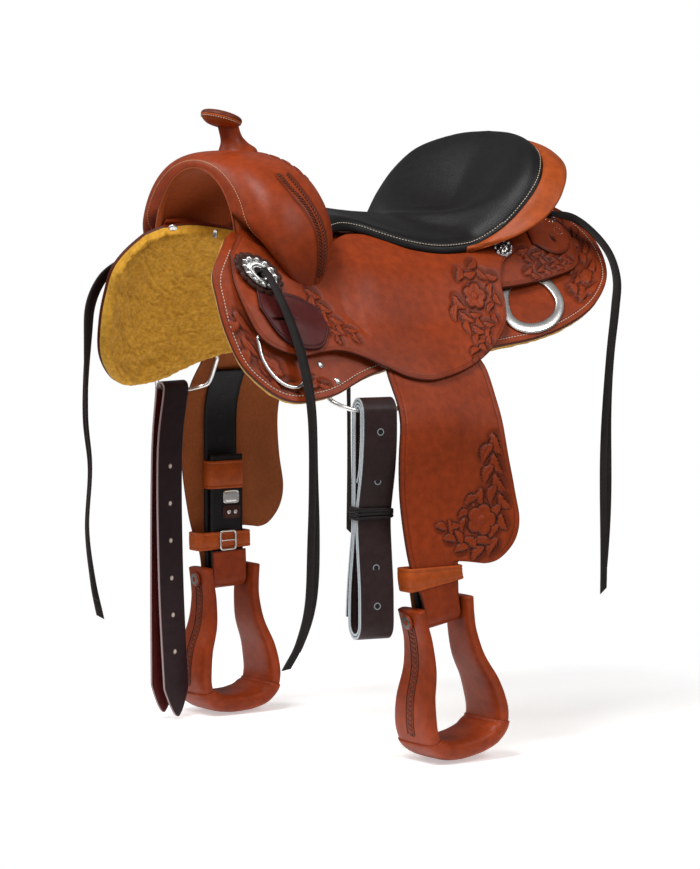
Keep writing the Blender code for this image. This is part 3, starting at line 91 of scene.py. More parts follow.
FENDER_REAR = mm((0, 61), (80, 62), (140, 70), (185, 78), (215, 71), (237, 50), (243, 28), (238.5, 9), (236, -10),
                 (248, -12.5), (270, -15), (300, -18), (392, -18))
CONCHO_AT = (0.197, -0.253)
SEAT_CONCHO_AT = (0.150, 0.155)
REAR_CONCHO_AT = (0.122, 0.262)
BREAST_DEE_AT = (0.312, -0.245)
RIGGING_DEE_AT = (0.318, -0.134)
REAR_DEE_AT = (0.238, 0.172)
SEAT_EDGE_LINE = mm((112, -124, 16), (98, -85, 24), (98, -52, 20), (110, -24, 10), (128, 8, -1), (140, 50, -8),
                    (146, 90, -6))
SEAT_SEAM = mm((149, 113, 0), (165, 140, 20), (176, 168, 50), (174, 196, 83), (150, 219, 112), (110, 236, 128),
               (60, 246, 137), (0, 250, 140))
ROLL_EDGE = mm((160, 122, -4), (186, 152, 12), (199, 188, 36), (197, 218, 66), (170, 246, 98), (125, 264, 118),
               (70, 275, 129), (0, 279, 133))
SEAT_CENTRE = mm((-136, 62), (-100, 55), (-50, 47), (0, 41), (50, 38))
SEAT_POCKET_REAR = (0.0, 0.120, 0.043)
STIRRUP_HALF = mm((-14, 48), (10, 45.5), (32, 44.5), (65, 49), (99, 62), (127, 68), (150, 69), (172, 62), (187, 44),
                  (193, 20), (194, 0))
COIL_RIGHT = mm((16.5, 0), (16.5, -35), (11, -75), (2, -110), (-3.3, -133), (-3.5, -156), (0.5, -190), (5.5, -230),
                (6.6, -262))
COIL_LEFT = mm((-11.3, 0), (-12, -35), (-12, -75), (-12.1, -110), (-12.5, -133), (-13.5, -156), (-19, -190),
               (-26, -230), (-28.4, -262))
COIL_TAIL = mm((-20.5, 0), (-21.2, -35), (-21.2, -75), (-21.3, -110), (-21.7, -133), (-22.8, -156), (-29.5, -190),
               (-37.2, -230), (-41, -262), (-41.8, -274))
BILLET_INSIDE = [(0.000, 0.0), (-0.013, 0.20), (-0.011, 0.60), (0.001, 1.0)]
BILLET_OUTSIDE = [(0.000, 0.0), (-0.009, 0.20), (-0.012, 0.60), (-0.012, 1.0)]
STRINGS = {
    "string_front_near": mm((180, -247, -48), (198, -238, -85), (214, -230, -130), (226, -226, -175),
                            (233, -224, -220), (236, -223, -290), (237, -223, -370), (236, -228, -460),
                            (235, -245, -515), (234, -266, -548)),
    "string_front_far": mm((-176, -272, -34), (-180, -294, -54), (-178, -312, -88), (-175, -318, -136),
                           (-175, -322, -240), (-176, -315, -313), (-175, -321, -397), (-175, -312, -470),
                           (-175, -300, -522)),
    "string_rear_near": mm((142, 282, 30), (166, 298, 10), (190, 308, -20), (208, 306, -55), (215, 297, -95),
                           (216, 288, -160), (215, 284, -250), (215, 282, -380), (215, 279, -486)),
    "string_rear_far": mm((-150, 255, 20), (-185, 232, -18), (-212, 205, -58), (-230, 182, -98), (-238, 170, -140),
                          (-240, 166, -190), (-238, 165, -270), (-237, 165, -360), (-236, 165, -438))}

PLY_GAP = 0.0012
CLEARANCE = 0.0003
SKIRT_THICK = 0.005
FLEECE_THICK = 0.0147
JOCKEY_THICK = 0.0045
FENDER_THICK = 0.0035
KEEPER_THICK = 0.0035
REAR_JOCKEY_THICK = 0.0035
ROSETTE_THICK = 0.0025
CONCHO_THICK = 0.004
REAR_CONCHO_THICK = 0.0035
FENDER_BEND = 0.100
FENDER_FLARE = 0.20
FENDER_WRAP = 0.0143
LEATHER_WRAP = 0.0076
LEATHER_THICK = 0.003
HOLES_DOWN = (0.201, 0.231, 0.260, 0.292)
SPLIT_S = 0.325
STIRRUP_Y = -0.046
BOLT_Z = -0.490
NECK_ROLL = {1: 10.0, -1: 2.0}
NECK_ROLL_PIVOT = -0.430
NECK_ROLL_FROM = -0.424
NECK_ROLL_TO = -0.456
HOBBLE_FRONT = -0.0925
HOBBLE_REAR = -0.0080
HOBBLE_LOW = -0.449
HOBBLE_HIGH = -0.4245
HOBBLE_THICK = 0.003
BUCKLE_Y = -0.047
STRAP_WIDTH = 0.054
GULLET_RADIUS = 0.104
SWELL_TOP_RADIUS = 0.125
SWELL_BULGE = 0.049
SWELL_FRONT = -0.256
SWELL_REAR_TOP = -0.146
SWELL_REAR_SIDE = -0.120
SWELL_FOOT_ANGLE = -21.0
SWELL_ROUND_FROM = 4.0
COVER_THICK = 0.004
LINING_THICK = 0.0022
HORN_CAP_TILT = 16.0
CONCHO_RADIUS = 0.018
ROSETTE_RADIUS = 0.029
SEAT_CONCHO_RADIUS = 0.0125
REAR_CONCHO_RADIUS = 0.0105
SLEEVE_THICK = 0.0022
SLEEVE_LOW = -0.362
SLEEVE_HIGH = -0.322
PLATE_AT = (-0.039, -0.3745)
PATCH_AT = (-0.038, -0.3965)
DEE_WIRE = 0.005
RIGGING_HALF = 0.052
RIGGING_UP = 0.030
RIGGING_DOWN = 0.040
RIGGING_SQUARE = 3.4
RIGGING_LEAN = 0.009
SEAT_STATIONS = 20
SEAM_FROM = 8
SEAM_IN = 0.0046
STIRRUP_DEPTH_TOP = 0.052
STIRRUP_DEPTH_TREAD = 0.084
BRANCH_THICK = 0.015
BRANCH_THICK_LOW = 0.020
TREAD_THICK = 0.025
HORN_FOOT = (0.0, -0.187, 0.112)
HORN_TOP = (0.0, -0.202, 0.162)
LATIGO_WIDTH = 0.048
LATIGO_THICK = 0.0038
LATIGO_PITCH = 0.0046
LATIGO_DROP = 0.280
LATIGO_TIE_DROP = 0.133
LATIGO_SHIFT = 0.006
LATIGO_REST = 0.0017
BILLET_SHIFT = -0.009
BILLET_DROP = 0.468
LATIGO_HOLES_DOWN = (0.024, 0.090, 0.205, 0.256)
BILLET_HOLES_DOWN = (0.108, 0.161, 0.214, 0.268, 0.321, 0.374)
RIGGING_WIRE = 0.003
SIDES = {"near": 1, "far": -1}
rng = np.random.default_rng(7)


# The shared surface

def ease(t):
    """0 to 1 with flat ends."""
    t = np.clip(t, 0.0, 1.0)
    return t * t * (3 - 2 * t)


def angle_down(s, y):
    front, rear = ease(-y / 0.27), ease(y / 0.27)
    top = 11 + front + rear
    low = 58 + 12 * front - 5 * rear
    return np.radians(top + (low - top) * np.sin(np.clip(s / 0.34, 0, 1) * np.pi / 2))


def bare_side(s, y):
    s, y = np.broadcast_arrays(np.asarray(s, float), np.asarray(y, float))
    x = np.zeros(s.shape)
    z = 0.015 + np.where(y < 0, 0.90, 0.75) * y * y
    for k in range(16):
        angle = angle_down((k + 0.5) * s / 16, y)
        x = x + np.cos(angle) * s / 16
        z = z - np.sin(angle) * s / 16
    curl = 3.2 * np.maximum(0, -0.2 - y) ** 2 + 1.5 * np.maximum(0, y - 0.22) ** 2
    return np.stack([x - curl * ease(s / 0.15), y, z], -1)


def side_normal(s, y):
    d = 0.001
    down = bare_side(np.add(s, d), y) - bare_side(np.subtract(s, d), y)
    back = bare_side(s, np.add(y, d)) - bare_side(s, np.subtract(y, d))
    n = -np.cross(back, down)
    return n / np.linalg.norm(n, axis=-1, keepdims=True)


def side(s, y, lift=0.0, sign=1):
    """Points lifted off the saddle's side, mirrored for the far side."""
    p = bare_side(s, y) + side_normal(s, y) * np.asarray(lift)[..., None]
    return p * (sign, 1, 1)


def bar_lift(s, y):
    across = ease((s - 0.030) / 0.050) * (1 - ease((s - 0.150) / 0.090))
    along = ease((y + 0.275) / 0.060) * (1 - ease((y - 0.210) / 0.080))
    return PLY_GAP / 2 + (0.009 + 0.010 * ease((y + 0.125) / 0.050)) * across * along


def fender_lift(s, y):
    return bar_lift(s, y) + PLY_GAP


def rear_jockey_lift(s, y):
    return bar_lift(s, y) + PLY_GAP * 1.4


def jockey_lift(s, y):
    room = np.maximum(ease((s - 0.215) / 0.045), ease((y + 0.135) / 0.030))
    return bar_lift(s, y) + PLY_GAP + room * (FENDER_THICK + PLY_GAP * 1.4)


def jockey_face(s, y):
    return jockey_lift(s, y) + JOCKEY_THICK


def keeper_face(s, y):
    return jockey_face(s, y) + PLY_GAP + KEEPER_THICK


def rear_jockey_face(s, y):
    return rear_jockey_lift(s, y) + REAR_JOCKEY_THICK


def walked(points):
    """The distance along a polyline at each of its points."""
    return np.concatenate([[0], np.cumsum(np.linalg.norm(np.diff(points, axis=0), axis=1))])


def sampled(at, run, rows):
    """Rows of numbers, known at some distances, at others."""
    return np.stack([np.interp(at, run, column) for column in np.asarray(rows).T], -1)


def spline(points, at):
    """Points of a smooth curve through the given points, at the given shares of its length or at so many."""
    points = np.array(points, float)
    t = (np.arange(12) / 12)[:, None]
    fine = []
    for i in range(len(points) - 1):
        a, b = points[i], points[i + 1]
        before = points[i - 1] if i else a * 2 - b
        after = points[i + 2] if i + 2 < len(points) else b * 2 - a
        out, into = (b - before) / 2, (after - a) / 2
        fine.append(a * (2 * t ** 3 - 3 * t ** 2 + 1) + out * (t ** 3 - 2 * t ** 2 + t)
                    + b * (3 * t ** 2 - 2 * t ** 3) + into * (t ** 3 - t ** 2))
    fine = np.concatenate(fine + [points[-1:]])
    run = walked(fine)
    share = np.linspace(0, 1, at) if isinstance(at, int) else np.asarray(at)
    return sampled(share * run[-1], run, fine)


def unit(v):
    return v / np.maximum(np.linalg.norm(v, axis=-1, keepdims=True), 1e-12)


def even(points, pitch):
    """A polyline walked at an even pitch."""
    run = walked(points)
    return sampled(np.linspace(0, run[-1], max(2, int(run[-1] / pitch) + 1)), run, points)


def circle(count):
    return np.linspace(0, 2 * np.pi, count, endpoint=False)


def placed(points, place):
    """Points carried by a matrix."""
    return np.asarray(points) @ np.array(place.to_3x3()).T + np.array(place.translation)


def rounded(d, reach):
    """How far a surface has fallen at a distance from an edge that is rounded over a reach."""
    return reach - np.sqrt(np.maximum(0, reach ** 2 - (reach - np.clip(d, 0, reach)) ** 2))


# Materials

def nodes_of(name):
    look = bpy.data.materials.new(name)
    look.use_nodes = True
    tree = look.node_tree
    return look, tree, tree.nodes["Principled BSDF"]


def link(tree, a, b):
    tree.links.new(a, b)


def add(tree, kind, **values):
    node = tree.nodes.new(kind)
    for key, value in values.items():
        if key in node.inputs:
            node.inputs[key].default_value = value
        else:
            setattr(node, key, value)
    return node


def put(node, values):
    for key, value in values.items():
        node.inputs[key].default_value = value


def texture(tree, kind, **values):
    node = add(tree, kind, **values)
    link(tree, add(tree, "ShaderNodeTexCoord").outputs["Object"], node.inputs["Vector"])
    return node


def noise(tree, scale, detail, rough=0.6):
    return texture(tree, "ShaderNodeTexNoise", Scale=scale, Detail=detail, Roughness=rough).outputs["Fac"]


def attribute(tree, name):
    return add(tree, "ShaderNodeAttribute", attribute_name=name).outputs["Fac"]


def bumped(tree, shader, height, strength, distance):
    bump = add(tree, "ShaderNodeBump", Strength=strength, Distance=distance)
    link(tree, height, bump.inputs["Height"])
    link(tree, bump.outputs["Normal"], shader.inputs["Normal"])


def ramp(tree, source, stops):
    """A colour that follows a source, from stops of (value, colour)."""
    node = add(tree, "ShaderNodeValToRGB")
    while len(node.color_ramp.elements) < len(stops):
        node.color_ramp.elements.new(0.5)
    for element, (at, colour) in zip(node.color_ramp.elements, stops):
        element.position = at
        element.color = (*colour, 1.0)
    link(tree, source, node.inputs["Fac"])
    return node.outputs["Color"]


def mix(tree, amount, a, b, kind="MIX"):
    """A colour mix; each input is a socket or a plain value."""
    node = add(tree, "ShaderNodeMix", data_type="RGBA", blend_type=kind)
    for slot, value in ((0, amount), (6, a), (7, b)):
        if isinstance(value, bpy.types.NodeSocket):
            link(tree, value, node.inputs[slot])
        else:
            node.inputs[slot].default_value = (*value, 1.0) if isinstance(value, tuple) else value
    return node.outputs[2]


def tinted(colour, k):
    return tuple(min(1.0, c * k) for c in colour)


def leather(name, colour, dark, rough, grain, edge, mottle):
    """Grained leather: mottled dye, pores, a dark colour where the shade mark is set (painted shade in grooves, creases
    and slots, in the tooling partly antique dye) and another colour on cut edges.
    """
    look, tree, shader = nodes_of(name)
    broad = noise(tree, 9.0, 5.0)
    dyed_and_shaded = ramp(tree, broad, [(0.30, tinted(colour, 1 - mottle)), (0.52, colour),
                              (0.75, tinted(colour, 1 + mottle * 0.8))])
    speck = ramp(tree, noise(tree, 85.0, 3.0), [(0.35, (0.78, 0.76, 0.74)), (0.65, (1.0, 1.0, 1.0))])
    dyed_and_shaded = mix(tree, 1.0, dyed_and_shaded, speck, "MULTIPLY")
    # the shade mark mixes in the dark colour as painted shade; the edge mark mixes in the cut edges' own colour
    for mark, dye_and_shade in (("shade", dark), ("edge", edge)):
        dyed_and_shaded = mix(tree, attribute(tree, mark), dyed_and_shaded, dye_and_shade)
    link(tree, dyed_and_shaded, shader.inputs["Base Color"])
    gloss = ramp(tree, broad, [(0.2, (rough + 0.10,) * 3), (0.8, (rough - 0.08,) * 3)])
    link(tree, gloss, shader.inputs["Roughness"])
    total = add(tree, "ShaderNodeMath", operation="ADD")
    link(tree, texture(tree, "ShaderNodeTexVoronoi", feature="F1", Scale=620.0).outputs["Distance"], total.inputs[0])
    link(tree, noise(tree, 130.0, 6.0, 0.7), total.inputs[1])
    bumped(tree, shader, total.outputs[0], grain, 0.0006)
    put(shader, {"Specular IOR Level": 0.19})
    return look


def napped(name, colour, deep, scale, strength, sheen):
    """Suede, fleece or raw wood: rough, with colour that follows its nap."""
    look, tree, shader = nodes_of(name)
    nap = noise(tree, scale, 6.0, 0.75)
    tone = ramp(tree, noise(tree, 14.0, 3.0), [(0.25, (0.80, 0.78, 0.74)), (0.7, (1.0, 1.0, 1.0))])
    dyed_and_shaded = mix(tree, 1.0, ramp(tree, nap, [(0.28, deep), (0.68, colour)]), tone, "MULTIPLY")
    # the shade mark darkens the colour: painted shade in the low places between the fleece's locks
    link(tree, mix(tree, attribute(tree, "shade"), dyed_and_shaded, tinted(deep, 0.6)), shader.inputs["Base Color"])
    put(shader, {"Roughness": 0.95, "Sheen Weight": sheen, "Sheen Roughness": 0.5, "Specular IOR Level": 0.15})
    bumped(tree, shader, nap, strength, 0.0012)
    return look


def metal(name, colour, rough):
    """Polished metal with fine scratches, painted near black where the shade mark is set: painted shade in open
    centres, low hollows and round rivet rims.
    """
    look, tree, shader = nodes_of(name)
    haze = noise(tree, 60.0, 6.0)
    tone = ramp(tree, haze, [(0.3, tinted(colour, 0.82)), (0.6, colour)])
    # painted shade: the shade mark turns the colour near black
    link(tree, mix(tree, attribute(tree, "shade"), tone, (0.012, 0.010, 0.009)), shader.inputs["Base Color"])
    link(tree, ramp(tree, haze, [(0.3, (rough + 0.12,) * 3), (0.7, (rough,) * 3)]), shader.inputs["Roughness"])
    put(shader, {"Metallic": 1.0})
    bumped(tree, shader, noise(tree, 900.0, 2.0), 0.05, 0.0002)
    return look


def thread_look(name, colour):
    """Waxed thread with a little twist."""
    look, tree, shader = nodes_of(name)
    twist = noise(tree, 700.0, 3.0)
    link(tree, ramp(tree, twist, [(0.3, tinted(colour, 0.7)), (0.7, colour)]), shader.inputs["Base Color"])
    put(shader, {"Roughness": 0.7})
    bumped(tree, shader, twist, 0.3, 0.0003)
    return look


RUSSET = leather("russet_hide", (0.275, 0.038, 0.007), (0.034, 0.006, 0.003), 0.40, 0.20, (0.075, 0.014, 0.006), 0.26)
ORANGE = leather("orange_hide", (0.400, 0.072, 0.011), (0.120, 0.025, 0.008), 0.42, 0.18, (0.17, 0.042, 0.013), 0.20)
BROWN = leather("dark_hide", (0.050, 0.016, 0.011), (0.012, 0.006, 0.005), 0.48, 0.3, (0.03, 0.012, 0.009), 0.3)
BLACK = leather("black_hide", (0.010, 0.009, 0.010), (0.003, 0.003, 0.003), 0.40, 0.30, (0.016, 0.014, 0.014), 0.25)
STRAP = leather("latigo_hide", (0.030, 0.015, 0.015), (0.005, 0.003, 0.003), 0.46, 0.25, (0.50, 0.55, 0.58), 0.3)
BILLET = leather("billet_hide", (0.022, 0.009, 0.012), (0.005, 0.003, 0.004), 0.46, 0.25, (0.34, 0.25, 0.25), 0.3)
OXBLOOD = leather("oxblood_hide", (0.080, 0.011, 0.010), (0.012, 0.004, 0.004), 0.40, 0.2, (0.03, 0.008, 0.008), 0.3)
BRAID = leather("braid_hide", (0.120, 0.024, 0.010), (0.020, 0.006, 0.004), 0.45, 0.25, (0.06, 0.014, 0.007), 0.3)
LACE = leather("lace_hide", (0.015, 0.011, 0.011), (0.006, 0.005, 0.005), 0.55, 0.3, (0.035, 0.027, 0.025), 0.3)
SUEDE = napped("suede_nap", (0.440, 0.085, 0.018), (0.270, 0.050, 0.011), 300.0, 0.4, 0.08)
FLESH = napped("flesh_side", (0.330, 0.095, 0.028), (0.240, 0.064, 0.019), 240.0, 0.3, 0.05)
FLEECE = napped("fleece_pile", (0.900, 0.480, 0.050), (0.470, 0.215, 0.018), 150.0, 0.6, 0.2)
WOOD = napped("tree_wood_grain", (0.46, 0.30, 0.16), (0.28, 0.17, 0.08), 40.0, 0.2, 0.0)
SILVER = metal("nickel_silver", (0.82, 0.81, 0.79), 0.24)
STEEL = metal("dull_steel", (0.36, 0.35, 0.34), 0.35)
WHITE_THREAD = thread_look("white_thread", (0.68, 0.58, 0.46))
CREAM_THREAD = thread_look("cream_thread", (0.66, 0.40, 0.20))


# Mesh helpers

def piece(name, points, faces, look, body=ROOT, node=(), slot=None, shade=None, edge=None, looks=()):
    """A mesh in the row frame that rides on a body and stands for CAD nodes."""
    mesh = bpy.data.meshes.new(name)
    mesh.from_pydata(np.asarray(points, float).tolist(), [], faces)
    mesh.validate()
    obj = bpy.data.objects.new(name, mesh)
    bpy.context.scene.collection.objects.link(obj)
    for each in (look, *looks):
        mesh.materials.append(each)
    for key, values in (("shade", shade), ("edge", edge)):
        if values is not None:
            layer = mesh.attributes.new(key, "FLOAT", "POINT")
            layer.data.foreach_set("value", np.asarray(values, np.float32).ravel())
    mesh.shade_smooth()
    if body is not None:
        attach(obj, body)
    if node:
        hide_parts(*([node] if isinstance(node, str) else node))
    return obj


def quads(rows, columns, around=False, start=0, flip=False):
    """Faces of a grid of points, closed along its columns if asked."""
    i, j = np.meshgrid(np.arange(rows - 1), np.arange(columns if around else columns - 1), indexing="ij")
    n = (j + 1) % columns
    f = np.stack([i * columns + j, i * columns + n, (i + 1) * columns + n, (i + 1) * columns + j], -1).reshape(-1, 4)
    if flip:
        f = f[:, ::-1]
    return (f + start).tolist()


def loft(name, sections, look, ring=False, **rest):
    """A skin through closed sections (rows of points)."""
    grid = np.asarray(sections, float)
    if ring:
        grid = np.concatenate([grid, grid[:1]])
    rows, columns = grid.shape[:2]
    faces = quads(rows, columns, True)
    if not ring:
        faces.append(list(range(columns))[::-1])
        faces.append(list(range((rows - 1) * columns, rows * columns)))
    return piece(name, grid.reshape(-1, 3), faces, look, **rest)


def frames(path, hint=(0, 0, 1)):
    """Tangents and two side directions that don't twist along a path."""
    path = np.asarray(path, float)
    tangent = unit(np.gradient(path, axis=0))
    a = np.cross(tangent[0], hint)
    if np.linalg.norm(a) < 1e-3:
        a = np.cross(tangent[0], (0.3, 1, 0))
    sides = []
    for t in tangent:
        a = a - t * np.dot(a, t)
        a = a / np.linalg.norm(a)
        sides.append(a)
    sides = np.array(sides)
    return tangent, sides, np.cross(tangent, sides)


def wire(name, path, radius, look, closed=False, sides=12, **rest):
    """A round wire along a path."""
    path = np.asarray(path, float)
    if closed:
        wrapped = np.concatenate([path[-2:], path, path[:2]])
        _, a, b = frames(wrapped)
        a, b = a[2:-2], b[2:-2]
    else:
        _, a, b = frames(path)
    turn = circle(sides)
    r = np.broadcast_to(np.asarray(radius, float), len(path))
    turned = a[:, None] * np.cos(turn)[:, None] + b[:, None] * np.sin(turn)[:, None]
    grid = path[:, None] + turned * r[:, None, None]
    return loft(name, grid, look, ring=closed, **rest)


def beads(name, places, along, out, length, width, look, high=0.7, **rest):
    """Small rounded bars at places, such as stitches: along and out give each one's directions."""
    places, along, out = (np.asarray(v, float) for v in (places, along, out))
    along = unit(along)
    out = unit(out - along * np.sum(out * along, -1, keepdims=True))
    across = np.cross(out, along)
    points = []
    for t, k in ((-0.5, 0.35), (-0.30, 1.0), (0.30, 1.0), (0.5, 0.35)):
        for a in circle(6):
            points.append(places + along * t * length + across * math.cos(a) * width / 2 * k
                          + out * math.sin(a) * width / 2 * k * high)
    points = np.stack(points, 1)
    one = quads(4, 6, True) + [[5, 4, 3, 2, 1, 0], [18, 19, 20, 21, 22, 23]]
    faces = [[v + i * 24 for v in f] for i in range(len(places)) for f in one]
    return piece(name, points.reshape(-1, 3), faces, look, **rest)


def stitches(name, path, out, look, pitch=0.0042, length=0.0028, width=0.0011, lift=0.0002, slant=0.0, **rest):
    """A row of stitches along a path with outward directions."""
    run = walked(path)
    at = np.arange(pitch / 2, run[-1], pitch)
    face = unit(sampled(at, run, out))
    along = unit(sampled(at + 0.001, run, path) - sampled(at - 0.001, run, path))
    along = along + np.cross(face, along) * math.tan(slant)
    return beads(name, sampled(at, run, path) + face * lift, along, face, length, width, look, **rest)


# Tooling: low relief of leaves and blossoms on a matted ground

def blossom(a, b, size):
    """A five-petalled blossom: height and cover at local points."""
    r, turn = np.hypot(a, b), np.arctan2(b, a)
    rim = size * (0.70 + 0.30 * np.abs(np.cos(2.5 * turn)) ** 0.6)
    t = r / rim
    inside = t < 1
    petal = np.where(inside, 0.55 * (1 - t ** 3) + 0.35 * np.exp(-((t - 0.80) / 0.14) ** 2), 0)
    petal -= 0.45 * np.exp(-(np.sin(2.5 * turn) * r / (size * 0.07)) ** 2) * inside * (t > 0.3)
    eye = 0.9 * np.sqrt(np.maximum(0, 1 - (r / (size * 0.24)) ** 2))
    eye = eye - 0.5 * np.exp(-((r / (size * 0.30) - 1) / 0.12) ** 2)
    return petal + eye, inside, np.exp(-((t - 1) / 0.07) ** 2)


def leaf(a, b, size):
    """A pointed leaf along its own axis, with a vein and lobed edges."""
    t = np.clip(a / size, -0.1, 1.1)
    curl = b - size * 0.16 * np.sin(np.pi * np.clip(t, 0, 1))
    lobes = np.abs(np.sin(np.pi * (a - np.abs(curl) * 1.1) / (size * 0.165)))
    half = size * 0.29 * np.sin(np.pi * np.clip(t, 0, 1) ** 0.8) ** 0.85 * (0.66 + 0.34 * lobes ** 0.7)
    w = np.abs(curl) / np.maximum(half, size * 0.01)
    inside = (w < 1) & (t > 0) & (t < 1)
    body = np.where(inside, 0.75 * np.sqrt(np.maximum(0, 1 - w * w)), 0)
    body -= 0.7 * np.exp(-(curl / (size * 0.035)) ** 2) * inside
    body -= 0.55 * (1 - lobes) ** 3 * (w > 0.15) * inside
    return body, inside, np.exp(-((w - 1) / 0.20) ** 2) * (t > 0) * (t < 1)


MOTIFS = {"blossom": blossom, "leaf": leaf}
LEAF_TURN = 30.0


def vine(size, count, *path):
    """Leaves, in millimetres, that branch off a stem on both sides in turn."""
    line = spline(mm(*path), count)
    ahead = np.gradient(line, axis=0)
    rows = []
    for k, ((s, y), (down, back)) in enumerate(zip(line, ahead)):
        way = math.degrees(math.atan2(down, back)) + (LEAF_TURN if k % 2 else -LEAF_TURN)
        rows.append(("leaf", s, y, way, size / 1000 * (1 - 0.3 * k / count)))
    return rows


def tooled(s, y, motifs, depth=0.0014):
    """Height and darkening of a group of motifs (kind, s, y, degrees, size) on a matted ground close round them: the
    dark is painted shade, partly antique dye.
    """
    ground, high, groove = (np.zeros(s.shape) for _ in range(3))
    cover = np.zeros(s.shape, bool)
    for kind, at_s, at_y, degrees, size in motifs:
        near = (np.abs(s - at_s) < size * 1.3) & (np.abs(y - at_y) < size * 1.3)
        if not near.any():
            continue
        turn = math.radians(degrees)
        da, db = y[near] - at_y, s[near] - at_s
        a, b = da * math.cos(turn) + db * math.sin(turn), -da * math.sin(turn) + db * math.cos(turn)
        body, inside, rim = MOTIFS[kind](a, b, size)
        away = np.hypot(a - size * 0.45, b * 1.3) / 0.62 if kind == "leaf" else np.hypot(a, b) / 1.15
        ground[near] = np.maximum(ground[near], np.exp(-(away / size) ** 10))
        high[near] = np.where(inside, body, high[near])
        cover[near] |= inside
        groove[near] = np.maximum(groove[near] * ~inside, rim)
    pebble = 0.5 + 0.5 * np.sin(s * 2300) * np.sin(y * 2300)
    low = ground * ~cover
    height = high * depth - groove * depth * 0.8 - low * depth * (0.60 + 0.35 * pebble)
    # painted shade, partly antique dye: dark in the grooves round motifs, on the sunken ground and in the recessed
    # veins
    dye_and_shade = groove * 0.90 + low * (0.34 + 0.28 * pebble) + np.maximum(0, -high) * 0.9 * cover
    return height, np.clip(dye_and_shade, 0, 1)


def creased(high, dye_and_shade, d, at, width=0.0006, depth=0.0006):
    """A relief with creased lines added at distances from the edge, each line darkened with painted shade."""
    for line in at:
        cut = np.exp(-((d - line) / width) ** 2)
        # painted shade along the crease's groove
        high, dye_and_shade = high - depth * cut, np.maximum(dye_and_shade, cut * 0.55)
    return high, dye_and_shade


# Leather panels between two rails on a surface

def stops(count, length, fine=(0.0, 0.0004, 0.0010, 0.0018)):
    """Shares from 0 to 1, close together at both ends."""
    near = np.array(fine) / length
    middle = np.linspace(near[-1], 1 - near[-1], count)[1:-1]
    return np.concatenate([near, middle, 1 - near[::-1]])


def panel(top, edge, us, vs, open_ends=()):
    """A grid of (s, y) between two rails, and each point's distance from the edges that aren't open."""
    a, b = spline(top, us), spline(edge, us)
    grid = a[:, None] + (b - a)[:, None] * vs[None, :, None]
    span, run = np.linalg.norm(b - a, axis=1)[:, None], walked(b)[:, None] + 0 * vs
    gaps = {"top": vs * span, "edge": (1 - vs) * span, "start": run, "end": run[-1] - run}
    return grid[..., 0], grid[..., 1], np.minimum.reduce([gap for key, gap in gaps.items() if key not in open_ends])


def rim_of(rows, columns):
    """The points round a grid, as numbers."""
    number = np.arange(rows * columns).reshape(rows, columns)
    return np.concatenate([number[0], number[1:, -1], number[-1, -2::-1], number[-2:0:-1, 0]])


def shell(grid, under_rim, back, sign):
    """A panel's face, the strip below its rim and its coarser back: points, faces and how many are at the back."""
    rows, columns = grid.shape[:2]
    rim, start = rim_of(rows, columns), rows * columns
    here = np.arange(len(rim))
    after = np.roll(here, -1)
    strip = np.stack([rim[after], rim, start + here, start + after], -1)[:, ::sign]
    backs = quads(*back.shape[:2], start=start + len(rim), flip=sign > 0)
    faces = quads(rows, columns, flip=sign < 0) + strip.tolist() + backs
    return np.concatenate([grid.reshape(-1, 3), under_rim, back.reshape(-1, 3)]), faces, len(backs)


def sheet(name, top, edge, columns, rows, place, outer, inner, look, relief, sign, round_off, open_ends=(), **rest):
    """A panel with rounded edges: place(s, y, lift) puts it in space, relief(s, y, d) adds height and painted shade (in
    the tooling partly antique dye).
    """
    us = stops(columns, walked(spline(top, 200))[-1])
    width = float(np.median(np.linalg.norm(spline(edge, us) - spline(top, us), axis=1)))
    s, y, d = panel(top, edge, us, stops(rows, width), open_ends)
    height, dye_and_shade = relief(s, y, d)
    rim = rim_of(*s.shape)
    rs, ry = s.ravel()[rim], y.ravel()[rim]
    coarse = np.ix_(*(np.unique(np.append(np.arange(0, n, 8), n - 1)) for n in s.shape))
    bs, by = s[coarse], y[coarse]
    points, faces, hidden = shell(place(s, y, outer(s, y) + height - rounded(d, round_off)),
                                  place(rs, ry, inner(rs, ry)), place(bs, by, inner(bs, by)), sign)
    more = np.zeros(len(points) - s.size)
    mark = np.append(np.clip(1 - d / 0.0030, 0, 1), more)
    mark[s.size:s.size + len(rim)] = 1
    obj = piece(name, points, faces, look, shade=np.append(np.clip(dye_and_shade, 0, 1), more), edge=mark, looks=(FLESH,), **rest)
    index = np.zeros(len(obj.data.polygons), np.int32)
    index[-hidden:] = 1
    obj.data.polygons.foreach_set("material_index", index)
    return obj


def rail_path(top, edge, inset, surface, sign, part, count):
    """A path along a panel's lower rail, drawn in by an inset, with its outward directions."""
    share = np.linspace(*part, count)
    a, b = spline(top, share), spline(edge, share)
    tangent = unit(np.gradient(b, axis=0))
    inward = np.stack([-tangent[:, 1], tangent[:, 0]], -1)
    inward *= np.sign(np.sum(inward * (a - b), -1, keepdims=True).mean())
    s, y = (b + inward * inset).T
    return side(s, y, surface(s, y), sign), side_normal(s, y) * (sign, 1, 1)


